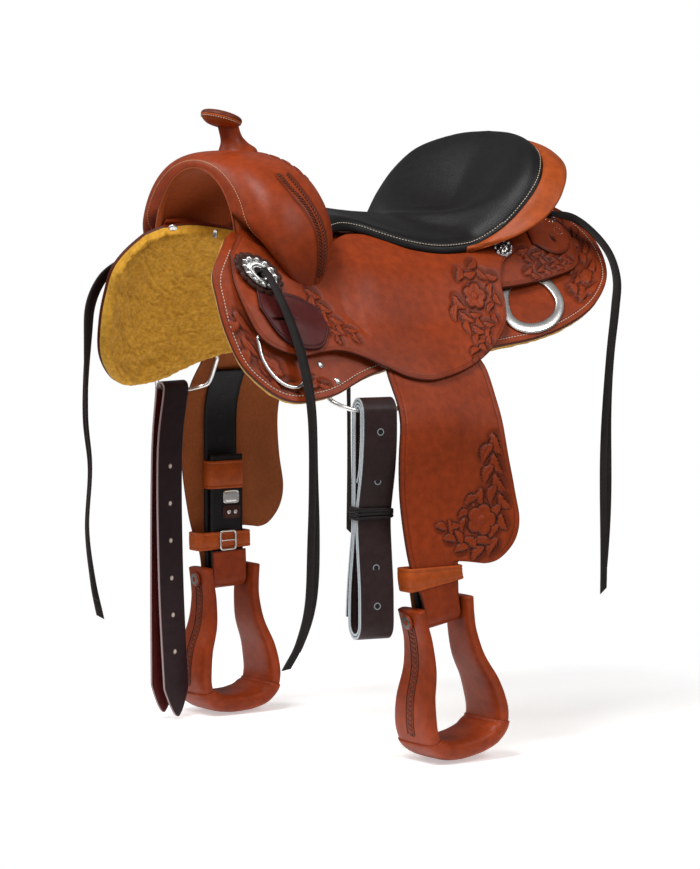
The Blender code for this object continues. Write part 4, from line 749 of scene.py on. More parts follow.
def punched(name, spots, place, body, cut=BLACK, painted_hole_fill=BLACK, radius=0.0032):
    """Punched holes with a cut rim and a flat disc painted in each hole (black as painted shade, pale as painted
    backdrop light); each spot is a point and an outward direction in the strap's frame.
    """
    points, faces, index = [], [], []
    for p, out in spots:
        out = unit(np.asarray(out, float))
        round_it = (np.outer(np.cos(circle(24)), unit(np.cross(out, (0, 1, 0))))
                    + np.outer(np.sin(circle(24)), (0, 1, 0)))
        start = len(points)
        for share, lift in ((1.22, 0.00005), (1.05, 0.00035), (0.88, 0.0001)):
            points.extend(np.asarray(p) + out * lift + radius * share * round_it)
        faces += quads(3, 24, True, start=start) + [[start + 48 + k for k in range(24)]]
        index += [0] * 48 + [1]
    # the disc in each hole is painted: black as painted shade, or the pale look given for seeing the backdrop through
    # it
    obj = piece(name, placed(points, place), faces, cut, body=body, looks=(painted_hole_fill,), edge=np.full(len(points), 0.45))
    obj.data.polygons.foreach_set("material_index", index)


# Panels on the saddle's side

def nothing(s, y):
    return np.zeros(np.shape(s))


def skirt_relief(s, y, d):
    high, dye_and_shade = tooled(s, y, vine(30, 10, (264, -292), (300, -290), (330, -278), (344, -252), (340, -222), (328, -200))
                       + vine(28, 10, (258, 240), (242, 262), (205, 280), (165, 284), (135, 276))
                       + vine(24, 7, (246, 240), (215, 250), (180, 256), (145, 258))
                       + [("blossom", 0.326, -0.262, 20, 0.016), ("blossom", 0.228, 0.268, 0, 0.012)])
    inner = d > 0.0130
    return creased(high * inner, dye_and_shade * inner, d, (0.0112,), 0.0008)


def jockey_relief(s, y, d):
    high, dye_and_shade = tooled(s, y, vine(24, 9, (180, 60), (166, 86), (178, 108), (205, 112), (232, 100))
                       + vine(26, 9, (198, 44), (222, 48), (246, 60), (270, 62), (288, 48))
                       + vine(20, 6, (226, 62), (240, 78), (256, 84), (270, 70)) + [("blossom", 0.204, 0.080, 0, 0.019)]
                       + vine(24, 8, (194, -188), (210, -174), (232, -158), (250, -134))
                       + vine(22, 6, (216, -188), (240, -176), (256, -160)))
    return creased(high, dye_and_shade, d, (0.0035, 0.0062))


def rear_jockey_relief(s, y, d):
    high, dye_and_shade = tooled(s, y, vine(20, 8, (158, 176), (172, 196), (184, 222), (192, 246))
                       + vine(18, 7, (192, 172), (196, 200), (198, 236)))
    return creased(high, dye_and_shade, d, (0.0035, 0.0060))


def keeper_relief(s, y, d):
    """A creased border and the slot that the latigo's end would go through, the slot painted dark as painted shade."""
    along = (y + 0.2368) * 0.933 - (s - 0.2555) * 0.36
    across = (y + 0.2368) * 0.36 + (s - 0.2555) * 0.933
    slot = np.exp(-((along / 0.0165) ** 2 + (across / 0.0017) ** 2) ** 2)
    low, dye_and_shade = creased(0.0, 0.0, d, (0.0045,), 0.0007, 0.0007)
    # painted shade: the slot is lowered and painted dark
    return low - slot * 0.0028, np.maximum(dye_and_shade, slot)


CHANCE = rng.random((64, 64))


def patchy(a, b):
    """Smooth chance from 0 to 1 that varies over about one unit."""
    i, j = np.floor(a).astype(int), np.floor(b).astype(int)
    u, v = ease(a - i), ease(b - j)
    i, j, n, m = i % 64, j % 64, (i + 1) % 64, (j + 1) % 64
    return (CHANCE[i, j] * (1 - u) + CHANCE[n, j] * u) * (1 - v) + (CHANCE[i, m] * (1 - u) + CHANCE[n, m] * u) * v


def fleece_relief(s, y):
    """Height and shade of wool: soft locks of several sizes that bend into each other."""
    total = np.zeros(s.shape)
    for scale, amount, start in ((0.0260, 0.44, 0.0), (0.0120, 0.34, 17.3), (0.0058, 0.22, 31.7)):
        bend_a = patchy(s / scale / 1.7 + start, y / scale / 1.7 + 5.1) * 3.2
        bend_b = patchy(y / scale / 1.7 + start, s / scale / 1.7 + 9.4) * 3.2
        n = patchy(s / scale + bend_a, y / scale + bend_b + start)
        total += amount * (1 - np.abs(2 * n - 1)) ** 1.2
    return total * 0.0046 - 0.0036, np.clip(0.62 - total, 0, 1) * 0.75


def side_sheet(name, top, edge, columns, rows, outer, inner, look, relief, sign, round_off, **rest):
    """A panel that lies on the saddle's side."""
    sheet(name, top, edge, columns, rows, lambda s, y, lift: side(s, y, lift, sign), outer, inner, look, relief, sign,
          round_off, **rest)


for word, sign in SIDES.items():
    side_sheet(f"skirt_skin_{word}", SKIRT_TOP, SKIRT_EDGE, 380, 190, nothing, lambda s, y: nothing(s, y) - SKIRT_THICK,
               RUSSET, skirt_relief, sign, 0.0018, node=f"skirt_{word}", open_ends=("top",))
    path, out = rail_path(SKIRT_TOP, SKIRT_EDGE, 0.0085, nothing, sign, (0.02, 0.985), 400)
    stitches(f"skirt_stitches_{word}", path, out, WHITE_THREAD, 0.0046, 0.0033, 0.0012)
    side_sheet(f"jockey_skin_{word}", JOCKEY_TOP, JOCKEY_EDGE, 380, 170, jockey_face, jockey_lift, RUSSET,
               jockey_relief, sign, 0.0016, node=f"seat_jockey_{word}", open_ends=("top",))
    side_sheet(f"rear_jockey_skin_{word}", REAR_JOCKEY_TOP, REAR_JOCKEY_EDGE, 180, 90, rear_jockey_face,
               rear_jockey_lift, RUSSET, rear_jockey_relief, sign, 0.0013, node=f"rear_jockey_{word}",
               open_ends=("top",))
    side_sheet(f"keeper_skin_{word}", KEEPER_TOP, KEEPER_EDGE, 120, 90, keeper_face,
               lambda s, y: jockey_face(s, y) + PLY_GAP, OXBLOOD, keeper_relief, sign, 0.0013,
               node=f"latigo_keeper_{word}")


# Fleece under the skirts, seen from the other side of the horse's space

def wool_sheet(word, sign):
    """Curly wool lining: its hair stands toward the horse and past the skirt's edge a little."""
    s, y, d = panel(SKIRT_TOP, SKIRT_EDGE, stops(330, 1.0, (0.0, 0.002, 0.006, 0.012)),
                    stops(190, 0.3, (0.0, 0.002, 0.005, 0.009)))
    tuft, dye_and_shade = fleece_relief(s, y)
    under = rounded(d, 0.010) * 0.95 - SKIRT_THICK - FLEECE_THICK - tuft
    rim = rim_of(*s.shape)
    top = -SKIRT_THICK - CLEARANCE
    points, faces, _ = shell(side(s, y, under + rng.normal(0, 0.00035, s.shape), sign),
                             side(s.ravel()[rim], y.ravel()[rim], top, sign),
                             side(s[::10, ::10], y[::10, ::10], top, sign), -sign)
    piece(f"wool_{word}", points, faces, FLEECE, node=f"fleece_{word}",
          shade=np.append(dye_and_shade, np.zeros(len(points) - s.size)))


for word, sign in SIDES.items():
    wool_sheet(word, sign)


# The swell, its gullet and the horn

def swell_surface(angle, t, grow=0.0):
    """Points of the fork's outside on the near half: angle round the gullet, t from the front rim to the rear."""
    share = ease((angle - SWELL_FOOT_ANGLE) / (90 - SWELL_FOOT_ANGLE))
    near_foot = np.clip((SWELL_ROUND_FROM - angle) / (SWELL_ROUND_FROM - SWELL_FOOT_ANGLE), 0.0, 1.0)
    rounding = 1 - np.sqrt(1 - 0.98 * near_foot ** 2)
    turn = np.pi * t
    crown = np.abs(np.sin(turn)) ** 0.72
    middle = -np.cos(turn)
    inner = 11.0 + 79.0 * (angle - SWELL_FOOT_ANGLE) / (90 - SWELL_FOOT_ANGLE)
    a = np.radians(inner + (angle - inner) * crown)
    low = GULLET_RADIUS - 0.004 * np.cos(a) ** 2
    high = SWELL_TOP_RADIUS + SWELL_BULGE * np.cos(a) ** 2 + grow
    radius = low + (high - low) * crown
    front = SWELL_FRONT - grow + 0.062 * rounding
    rear = SWELL_REAR_SIDE + (SWELL_REAR_TOP - SWELL_REAR_SIDE) * share + grow - 0.030 * rounding
    along = np.copysign(np.abs(middle) ** 0.8, middle)
    y = (front + rear) / 2 + (rear - front) / 2 * along
    return np.stack([radius * np.cos(a), y, radius * np.sin(a)], -1)


def level_at(points, lift):
    """Height of the saddle's side, lifted, straight above or below points."""
    flat_points = points.reshape(-1, 3)
    s = np.linspace(0.01, 0.36, 64)
    x, y, z = np.abs(flat_points[:, 0]), flat_points[:, 1], flat_points[:, 2]
    grid = side(s[None, :], y[:, None], lift(s[None, :], y[:, None]))
    level = [np.interp(a, row[:, 0], row[:, 2]) for a, row in zip(x, grid)]
    return (z - np.array(level)).reshape(points.shape[:-1])


def both_halves(near):
    """A grid from the near foot over the top and down the far half."""
    return np.concatenate([near, near[-2::-1] * (-1, 1, 1)])


def grid_normals(grid):
    n = np.cross(np.gradient(grid, axis=0), np.gradient(grid, axis=1))
    return unit(n)


def trimmed(rows, columns, keep, **rest):
    """Faces of a grid that have at least one kept point."""
    flags = keep.ravel()
    return [face for face in quads(rows, columns, **rest) if flags[face].any()]


def lace_share(angle):
    """Where the laced seam crosses the fork, from the front rim to the rear."""
    return 0.60 - 0.10 * ease(angle / 35)


def swell_relief(angle, y, t):
    s = np.radians(90 - angle) * 0.160
    high, dye_and_shade = tooled(s, y, vine(26, 11, (14, -184), (50, -174), (90, -162), (145, -148)))
    behind = ease((t - lace_share(angle) - 0.060) / 0.010)
    high, dye_and_shade = high * behind * 0.6, dye_and_shade * behind
    # painted shade: the laced seam's groove is painted darker
    groove = np.exp(-(((t - lace_share(angle)) ** 2 - 0.045 ** 2) / 0.0009) ** 2) * (1 - ease((angle - 34) / 8))
    return high - groove * 0.0008, np.clip(np.maximum(dye_and_shade, groove * 0.7), 0, 1)


def make_swell():
    """The leather over the fork, with its tooled shoulders, stitched rim and laced seam."""
    half, t = np.linspace(SWELL_FOOT_ANGLE, 90, 150), np.linspace(0, 1, 170)
    t = 0.5 * t + 0.5 * (1 - np.cos(np.pi * t)) / 2
    angle, along = np.meshgrid(half, t, indexing="ij")
    near = swell_surface(angle, along)
    out = grid_normals(near)
    out *= np.sign(np.sum(out * near * (1, 0, 1), -1, keepdims=True).mean())
    high, dye_and_shade = swell_relief(angle, near[..., 1], along)
    near = near + out * high[..., None]
    keep = level_at(near, jockey_face) > -0.004
    grid = both_halves(near)
    rows, columns = grid.shape[:2]
    inner = grid - both_halves(out) * COVER_THICK
    number = np.arange(rows * columns).reshape(rows, columns)
    below = rows * columns + np.arange(rows)
    lips = [np.stack([number[1:, 0], number[:-1, 0], below[:-1], below[1:]], -1),
            np.stack([number[:-1, -1], number[1:, -1], below[1:] + rows, below[:-1] + rows], -1)]
    faces = trimmed(rows, columns, np.concatenate([keep, keep[-2::-1]])) + np.stack(lips, 1).reshape(-1, 4).tolist()
    points = np.concatenate([grid.reshape(-1, 3), inner[:, 0], inner[:, -1]])
    piece("swell_skin", points, faces, RUSSET, node="swell_cover",
          shade=np.append(np.concatenate([dye_and_shade, dye_and_shade[-2::-1]]), np.zeros(2 * rows)),
          edge=np.repeat([0.0, 1.0], [rows * columns, 2 * rows]))
    for word, sign in SIDES.items():
        stitches(f"rim_stitches_{word}", swell_surface(half[10:], np.full(140, 0.085)) * (sign, 1, 1),
                 out[10:, 12] * (sign, 1, 1), CREAM_THREAD, 0.0040)
        for row, (shift, slant) in enumerate(((-0.020, 0.75), (0.020, -0.75))):
            share = lace_share(half[8:80]) + shift
            stitches(f"swell_lace_{row}_{word}", swell_surface(half[8:80], share) * (sign, 1, 1),
                     out[np.arange(8, 80), np.searchsorted(t, share)] * (sign, 1, 1), BRAID, 0.0046, 0.0088, 0.0032,
                     0.0003, slant * sign)


make_swell()
lining = []
for angle in np.linspace(7.0, 173.0, 121):
    a = math.radians(angle)
    share = float(ease((min(angle, 180 - angle) - SWELL_FOOT_ANGLE) / (90 - SWELL_FOOT_ANGLE)))
    rear = SWELL_REAR_SIDE + (SWELL_REAR_TOP - SWELL_REAR_SIDE) * share
    ys = SWELL_FRONT + 0.0006 + (rear - 0.0026 - SWELL_FRONT) * np.linspace(0, 1, 40) ** 1.6
    lip = 0.0042 * (1 - np.clip((ys - ys[0]) / 0.007, 0, 1)) ** 2
    outside = GULLET_RADIUS - 0.0045 + lip - 0.003 * math.cos(a) ** 2 * (lip > 0)
    radius, ys = np.append(outside - LINING_THICK, outside[::-1]), np.append(ys, ys[::-1])
    lining.append(np.stack([radius * math.cos(a), ys, radius * math.sin(a)], -1))
lining = np.array(lining)
keep = level_at(lining, bar_lift) > -0.006
piece("gullet_suede", lining.reshape(-1, 3), trimmed(121, 80, keep, around=True, flip=True), SUEDE,
      node="gullet_lining")


def turning(name, profile, place, look, **rest):
    """A turned piece from a smooth profile of (radius, height) in millimetres."""
    radius, height = spline(mm(*profile), max(24, len(profile) * 7)).T
    turn = circle(96)
    rings = np.stack([np.outer(np.maximum(radius, 1e-5), f) for f in (np.cos(turn), np.sin(turn), np.ones(96))], -1)
    rings[..., 2] = height[:, None]
    return loft(name, placed(rings, place)[::-1], look, **rest)


foot, top = Vector(HORN_FOOT), Vector(HORN_TOP)
horn_lean = Vector((0, 0, 1)).rotation_difference((top - foot).normalized())
neck_place = Matrix.Translation(foot) @ horn_lean.to_matrix().to_4x4()
neck_high = (top - foot).length * 1000 + 0.6
turning("neck_wrap", [(8.0, neck_high), (13.4, neck_high - 0.8), (13.9, neck_high - 6), (14.1, 36), (15.2, 29),
                      (17.8, 23.5), (21.2, 18), (25.2, 13.5), (28.4, 10), (30, 6.5), (30.2, 3)],
        neck_place, RUSSET, node="horn_neck")
cap_place = (Matrix.Translation(top + Vector((0, -0.0095, 0.0065)))
             @ Matrix.Rotation(math.radians(-HORN_CAP_TILT), 4, "X"))
turning("cap_top", [(0, 8.6), (10, 8.4), (18, 7.5), (24, 6), (27.2, 4), (28.4, 1.4), (28.2, -0.4), (27.6, -1.2)],
        cap_place, BRAID, node="horn_cap")
turning("cap_under", [(28.2, -0.4), (28, -2.2), (25.6, -5), (22.6, -7.8), (19, -10), (15, -11.2), (14, -11.4)],
        cap_place, ORANGE, node="horn_cap", slot="russet_leather")
a = np.linspace(0, 2 * np.pi, 200)
seam = np.stack([0.0274 * np.cos(a), 0.0274 * np.sin(a), np.full(200, -0.0033)], -1)
seam_out = np.stack([np.cos(a), np.sin(a), np.full(200, -0.7)], -1) @ np.array(cap_place.to_3x3()).T
stitches("cap_stitches", placed(seam, cap_place), seam_out, WHITE_THREAD, 0.0036, 0.0024, 0.0010)


# Seat and cantle

def seat_surface(count, across):
    """The seat's top on the near half: stations from the fork to the cantle, steps toward the centre."""
    at = np.linspace(0, 1, count + 1)
    edges = spline(SEAT_EDGE_LINE + SEAT_SEAM, at)
    coarse = SEAT_STATIONS * 2 // 5
    aft_steps = SEAT_STATIONS * 3 // 5
    fore = spline([(0.0, y, z) for y, z in SEAT_CENTRE], coarse + 1)
    pocket = fore[-1]
    aft = [pocket + (np.array(SEAT_POCKET_REAR) - pocket) * (k + 1) / aft_steps for k in range(aft_steps)]
    centres = np.concatenate([fore, aft])
    stations = np.linspace(0, 1, len(centres))
    centre = sampled(at, stations, centres)
    v = (np.linspace(0, 1, across + 1) ** 1.25)[None, :]
    e, c = edges[:, None], centre[:, None]
    plan = e + (c - e) * v[..., None]
    fall = 1 - ease((v - 0.04) / 0.66)
    bowl = ease(edges[:, 2] / 0.05)[:, None]
    fall = (1 - v) * (1 - bowl) + fall * bowl
    z = c[..., 2] + (e[..., 2] - c[..., 2]) * fall
    bump = (v / 0.12) * np.exp(1 - v / 0.12)
    return np.stack([plan[..., 0], plan[..., 1], z + bump * (0.009 + 0.004 * bowl)], -1)


def make_seat():
    """The padded seat: a crowned skin, its seam's groove and stitches, with the ridge behind the pocket smoothed."""
    count = 160
    near = seat_surface(count, 110)
    up = grid_normals(near)
    up *= np.sign(up[..., 2:])
    up[~np.isfinite(up)] = 0
    run = np.stack([walked(row) for row in near])
    near[..., 2] -= rounded(run, 0.0035)
    groove = np.exp(-((run - SEAM_IN) / 0.0016) ** 2)
    near[..., 2] -= groove * 0.0014
    low = near[:, 0] - (0, 0, 0.004)
    turned_in = low + unit(((0.0, 0.05, 0.0) - low) * (1, 1, 0)) * 0.004
    grid = np.concatenate([turned_in[:, None], low[:, None], near], axis=1)
    rows, columns = grid.shape[:2]
    # painted shade: the seam's groove is painted darker
    dark = np.concatenate([np.zeros((rows, 2)), groove * 0.7], axis=1)
    obj = piece("seat_skin", np.concatenate([grid.reshape(-1, 3), (grid * (-1, 1, 1)).reshape(-1, 3)]),
                quads(rows, columns) + quads(rows, columns, start=rows * columns, flip=True), BLACK, node="seat",
                shade=np.append(dark, dark))
    form = bmesh.new()
    form.from_mesh(obj.data)
    bmesh.ops.remove_doubles(form, verts=form.verts, dist=1e-5)
    bmesh.ops.recalc_face_normals(form, faces=form.faces)
    for reach in (0.100, 0.080, 0.060, 0.045, 0.030):
        ridge = [v for v in form.verts if abs(v.co.x) < reach and 0.05 < v.co.y < 0.232]
        for _ in range(12):
            bmesh.ops.smooth_vert(form, verts=ridge, factor=0.5, use_axis_x=False, use_axis_y=True, use_axis_z=True)
    form.to_mesh(obj.data)
    form.free()
    obj.data.shade_smooth()
    k = np.arange(3, count + 1)
    j = np.array([np.searchsorted(run[i], SEAM_IN) for i in k])
    for word, sign in SIDES.items():
        stitches(f"seat_seam_{word}", near[k, j] * (sign, 1, 1), up[k, j] * (sign, 1, 1), WHITE_THREAD, lift=0.0006,
                 slot="black_leather")


def make_roll():
    """The rolled cantle rim, its binding and the leather behind."""
    roll = []
    for k, (a, b) in enumerate(zip(spline(SEAT_EDGE_LINE + SEAT_SEAM, np.linspace(SEAM_FROM / SEAT_STATIONS, 1, 97)),
                                   spline(ROLL_EDGE, 97))):
        out = unit((a - (0, 0.05, 0)) * (1, 1, 0))
        size = 0.35 + 0.65 * float(ease(k / 96 / 0.45))
        start = a + out * 0.0006 - (0, 0, 0.0006)
        middle = start + (b - start) * 0.55 + (0, 0, 0.0045 * size)
        under = b - out * 0.005 * size - (0, 0, 0.0075 * size)
        back = a - out * 0.001 - (0, 0, 0.0135 * size + 0.0045)
        roll.append(spline([start, (start + middle) / 2 + (0, 0, 0.0020 * size), middle,
                            middle + (b - middle) * 0.55 + (0, 0, 0.0012 * size), b,
                            b + (under - b) * 0.25 + out * 0.0004, under, (under + back) / 2, back,
                            a + out * 0.0006 - (0, 0, 0.0052)], 36))
    roll = np.array(roll)
    roll[-1, :, 0] = 0.0
    loft("cantle_roll_skin", both_halves(roll), ORANGE, node="cantle_roll")


make_seat()
make_roll()


# Metal and ornaments

def disc(name, at, sign, base, radius, profile, look, steps=144, rings=46, **rest):
    """A round ornament on a panel: profile(share, turn) is its height and painted shade, and its rim may vary."""
    r, a = np.meshgrid(np.linspace(0, 1, rings)[1:], circle(steps), indexing="ij")
    high, dye_and_shade, rim = profile(r, a)
    s, y = at[0] + radius * rim * r * np.cos(a), at[1] + radius * rim * r * np.sin(a)
    middle_high, middle_shade, _ = profile(np.zeros((1, 1)), np.zeros((1, 1)))
    points = np.concatenate([side(*at, base(*at) + middle_high[0, 0], sign)[None],
                             side(s, y, base(s, y) + high, sign).reshape(-1, 3),
                             side(s[-1], y[-1], base(s[-1], y[-1]), sign)])
    faces = [[0, 1 + k, 1 + (k + 1) % steps] for k in range(steps)] + quads(rings, steps, True, start=1)
    if sign < 0:
        faces = [face[::-1] for face in faces]
    shade = np.concatenate([[middle_shade[0, 0]], dye_and_shade.ravel(), np.zeros(steps)])
    return piece(name, points, faces, look, shade=shade, **rest)


def concho_profile(thick, beads_round, bead=0.15):
    def profile(r, a):
        wave = np.abs(np.cos(a * beads_round / 2))
        rim = 1 - 0.07 * (1 - wave ** 2) * ease((r - 0.7) / 0.25)
        ball = np.sqrt(np.maximum(0, 1 - ((r - (1 - bead)) / bead) ** 2 - (1 - wave ** 2) * 0.96))
        dome = 0.70 * np.sqrt(np.maximum(0, 1 - ((r - 0.56) / 0.17) ** 2))
        high = thick * np.maximum.reduce([0.24 * np.ones(r.shape), 0.95 * ball + 0.05, dome])
        # painted shade: the open centre is painted dark, and so is the low ground between the beads and the dome
        dye_and_shade = np.clip((0.40 - r) / 0.05, 0, 1) + (high < thick * 0.34) * (r > 0.4) * 0.85
        return high, np.clip(dye_and_shade, 0, 1), rim
    return profile


def rosette_profile(r, a):
    lobes = np.abs(np.sin(a * 8)) ** 0.7
    rim = 0.90 + 0.10 * lobes
    fan = 0.5 + 0.5 * np.cos(a * 32)
    high = ROSETTE_THICK * (0.55 + 0.40 * np.exp(-((r - 0.88) / 0.06) ** 2) - 0.22 * fan * (r > 0.60) * (r < 0.84))
    high = high - ROSETTE_THICK * 0.4 * np.exp(-((r - 0.975) / 0.02) ** 2)
    # painted shade in the radial cuts and along the groove at the inner ring
    return high, np.clip(0.6 * fan * (r > 0.60) * (r < 0.84) + 0.5 * np.exp(-((r - 0.60) / 0.02) ** 2), 0, 1), rim


def small_profile(thick, beads_round):
    def profile(r, a):
        wave = np.abs(np.cos(a * beads_round / 2))
        ball = np.sqrt(np.maximum(0, 1 - ((r - 0.82) / 0.18) ** 2 - (1 - wave ** 2) * 0.95))
        dome = 0.75 * np.sqrt(np.maximum(0, 1 - (r / 0.58) ** 2)) * (0.86 + 0.14 * np.cos(a * 8) * (r > 0.15))
        high = thick * np.maximum.reduce([0.25 * np.ones(r.shape), 0.9 * ball, dome])
        # painted shade on the low ground between the beads and the dome
        return high, (high < thick * 0.30) * 0.45, 1 - 0.06 * (1 - wave ** 2) * ease((r - 0.7) / 0.25)
    return profile


def rivet_profile(r, a):
    high = 0.0022 * np.sqrt(np.maximum(0.02, 1 - (r * 0.98) ** 2))
    # painted shade: a dark ring round the rivet's rim where it meets the leather
    return high, 0.9 * np.exp(-((r - 1) / 0.05) ** 2), np.ones(r.shape)


def screw(name, at, out, radius, look):
    """A domed screw head with a slot, facing outward."""
    out = unit(np.array(out, float))
    a = unit(np.cross(out, (0, 0, 1)))
    rows = []
    for share, high in ((1, -0.30), (1, 0), (0.96, 0.12), (0.85, 0.22), (0.7, 0.30), (0.55, 0.35), (0.4, 0.385),
                        (0.25, 0.41), (0.1, 0.42)):
        across, along = radius * share * np.cos(circle(40)), radius * share * np.sin(circle(40))
        cut = 0.0009 * np.exp(-(across / (radius * 0.16)) ** 4) * (share < 0.97)
        rows.append(np.array(at) + np.outer(across, a) + np.outer(along, np.cross(out, a))
                    + np.outer(radius * high - cut, out))
    loft(name, rows, look)


screw("screw_shiny", side(0.0853, -0.2449, -0.0204, -1), -side_normal(0.0853, -0.2449) * (-1, 1, 1), 0.0062, SILVER)
# painted shade: this screw matches the silver one across the fork but is given the darker steel look
screw("screw_in_painted_shade", (0.0728, -0.2692, 0.0155), (-0.2, -0.95, 0.1), 0.0058, STEEL)
for word, sign in SIDES.items():
    disc(f"rosette_{word}", CONCHO_AT, sign, keeper_face, ROSETTE_RADIUS, rosette_profile, BROWN, 256,
         node=f"concho_rosette_{word}", slot="oxblood_leather")
    disc(f"beaded_concho_{word}", CONCHO_AT, sign, lambda s, y: keeper_face(s, y) + ROSETTE_THICK * 0.9,
         CONCHO_RADIUS * 1.16, concho_profile(0.0052, 12), SILVER, node=f"front_concho_{word}")
    disc(f"seat_ornament_{word}", SEAT_CONCHO_AT, sign, lambda s, y: jockey_face(s, y) + 0.0002,
         SEAT_CONCHO_RADIUS * 1.2, small_profile(0.0046, 10), SILVER, node=f"seat_concho_{word}")
    disc(f"rear_ornament_{word}", REAR_CONCHO_AT, sign, rear_jockey_face, REAR_CONCHO_RADIUS, small_profile(0.0042, 9),
         SILVER, node=f"rear_concho_{word}")
    disc(f"rear_second_ornament_{word}", (0.150, 0.258), sign, rear_jockey_face, 0.0085, small_profile(0.0036, 9),
         SILVER)
    for end, at in (("front", (0.2995, -0.1905)), ("rear", (0.3185, -0.1705))):
        disc(f"rivet_{end}_{word}", at, sign, nothing, 0.0045, rivet_profile, SILVER, 36, 12)


# Dees, plates and the hanging leathers

def dee_line(s, y, lift, half, up, down, sign, square=2.0, lean=0.0):
    """A wire dee's line on the saddle's side: straight bar above, bow below, which may lean out at its foot."""
    a = np.linspace(0, np.pi, 61)
    drop = down * np.abs(np.sin(a)) ** (2 / square)
    back = -np.copysign(np.abs(np.cos(a)) ** (2 / square), np.cos(a))
    bow = side(s + drop, y + half * back, lift + lean * ease((drop / down - 0.6) / 0.4), sign)
    bar = side(s - up * np.array((0.6, 1, 1, 1, 0.6)), y + half * np.array((1, 0.82, 0, -0.82, -1)), lift, sign)
    return even(np.concatenate([bow, bar, bow[:1]]), 0.0016)[:-1]


for word, sign in SIDES.items():
    breast = dee_line(*BREAST_DEE_AT, DEE_WIRE / 2 + 0.0005, 0.028, 0.030, 0.034, sign)
    wire(f"breast_ring_{word}", breast, DEE_WIRE / 2, SILVER, True, 16, node=f"breast_dee_{word}")
    rigging = dee_line(*RIGGING_DEE_AT, -SKIRT_THICK - RIGGING_WIRE - PLY_GAP, RIGGING_HALF, RIGGING_UP,
                       RIGGING_DOWN, sign, RIGGING_SQUARE, RIGGING_LEAN)
    wire(f"rigging_ring_{word}", rigging, RIGGING_WIRE, SILVER, True, 16, node=f"rigging_dee_{word}")
    turn = circle(160)[:, None]
    share, lift = np.array(((0.06, 0.0010), (0.0, 0.0020), (0.06, 0.0034), (0.16, 0.0041), (0.5, 0.0043),
                            (0.84, 0.0041), (0.94, 0.0034), (1.0, 0.0020), (0.94, 0.0010))).T
    down, back = np.cos(turn), np.sin(turn)
    band = (0.013 + 0.003 * np.maximum(0.0, down)) * share
    plate = side(REAR_DEE_AT[0] + (0.040 - band) * down * np.where(down < 0, 1.75, 1.0),
                 REAR_DEE_AT[1] + (0.045 - band) * back * np.where(back < 0, 1.2, 1.0), lift + 0 * band, sign)
    loft(f"rear_plate_{word}", plate, SILVER, ring=True, node=f"rear_dee_{word}")


def hang(q):
    """Fender surface below the split at a distance q down: a point at y 0 and its outward direction."""
    start = side(SPLIT_S, STIRRUP_Y, PLY_GAP * 1.5 + FENDER_THICK / 2)
    x, z = start[0], start[2]
    first = math.degrees(float(angle_down(SPLIT_S, STIRRUP_Y)))
    reach = min(q, FENDER_BEND)
    for k in range(20):
        angle = math.radians(first + (90 - first) * float(ease((k + 0.5) / 20 * reach / FENDER_BEND)))
        x += math.cos(angle) * reach / 20
        z -= math.sin(angle) * reach / 20
    angle = math.radians(first + (90 - first) * float(ease(reach / FENDER_BEND)))
    return np.array((x, 0.0, z - max(0.0, q - FENDER_BEND))), np.array((math.sin(angle), 0.0, math.cos(angle)))


BOLT_Q = FENDER_BEND + hang(FENDER_BEND)[0][2] - BOLT_Z
X_FENDER = hang(FENDER_BEND)[0][0]
X_BOLT = X_FENDER - FENDER_WRAP


def strap_point(q, offset, wrap):
    """The middle of a strap at q along it: down behind the fender, round the bolt and up again."""
    if q <= BOLT_Q:
        p, out = hang(q)
        return p - out * offset, out
    centre = np.array((X_FENDER - offset - wrap, 0.0, BOLT_Z))
    turn = (q - BOLT_Q) / wrap
    if turn <= math.pi:
        out = np.array((math.cos(turn), 0.0, -math.sin(turn)))
        return centre + out * wrap, out
    return centre + np.array((-wrap, 0.0, (turn - math.pi) * wrap)), np.array((-1.0, 0.0, 0.0))


def strap_table(offset, wrap, low, high):
    q = np.arange(low, high, 0.0008)
    p, out = zip(*(strap_point(v, offset, wrap) for v in q))
    return q, np.array(p), np.array(out)


def from_table(table, q):
    """Points and outward directions of a strap at many distances."""
    at, p, out = table
    return sampled(q, at, p), unit(sampled(q, at, out))


def rolled(p, sign, share=None):
    """Points after the roll of one side's fender neck, which drops its front edge."""
    if share is None:
        share = ease((NECK_ROLL_FROM - p[..., 2]) / (NECK_ROLL_FROM - NECK_ROLL_TO))
    a = np.radians(NECK_ROLL[sign]) * share
    x, y, z = p[..., 0], p[..., 1] - STIRRUP_Y, p[..., 2] - NECK_ROLL_PIVOT
    return np.stack([x, STIRRUP_Y + y * np.cos(a) - z * np.sin(a), NECK_ROLL_PIVOT + y * np.sin(a) + z * np.cos(a)], -1)


FENDER_TABLE = strap_table(0.0, FENDER_WRAP, -0.12, 0.40)
LEATHER_TABLE = strap_table(FENDER_WRAP - LEATHER_WRAP, LEATHER_WRAP, 0.0, 0.51)


def fender_place(sign):
    """The fender's surface: laid on the side above its split, hung and rolled below, blended over 60 mm."""
    def place(t, y, lift):
        p, out = from_table(FENDER_TABLE, np.maximum(t, -0.11))
        flare = FENDER_FLARE * np.maximum(0.0, y + 0.005) * ease(t / 0.15)
        hung = np.stack([p[..., 0] + flare, y, p[..., 2]], -1) + out * (lift - FENDER_THICK / 2)[..., None]
        s = SPLIT_S + t
        laid = side(np.clip(s, 0, SPLIT_S + 0.03), y, fender_lift(s, y) + lift)
        share = ease((t + 0.030) / 0.060)[..., None]
        return (laid * (1 - share) + rolled(hung, sign) * share) * (sign, 1, 1)
    return place


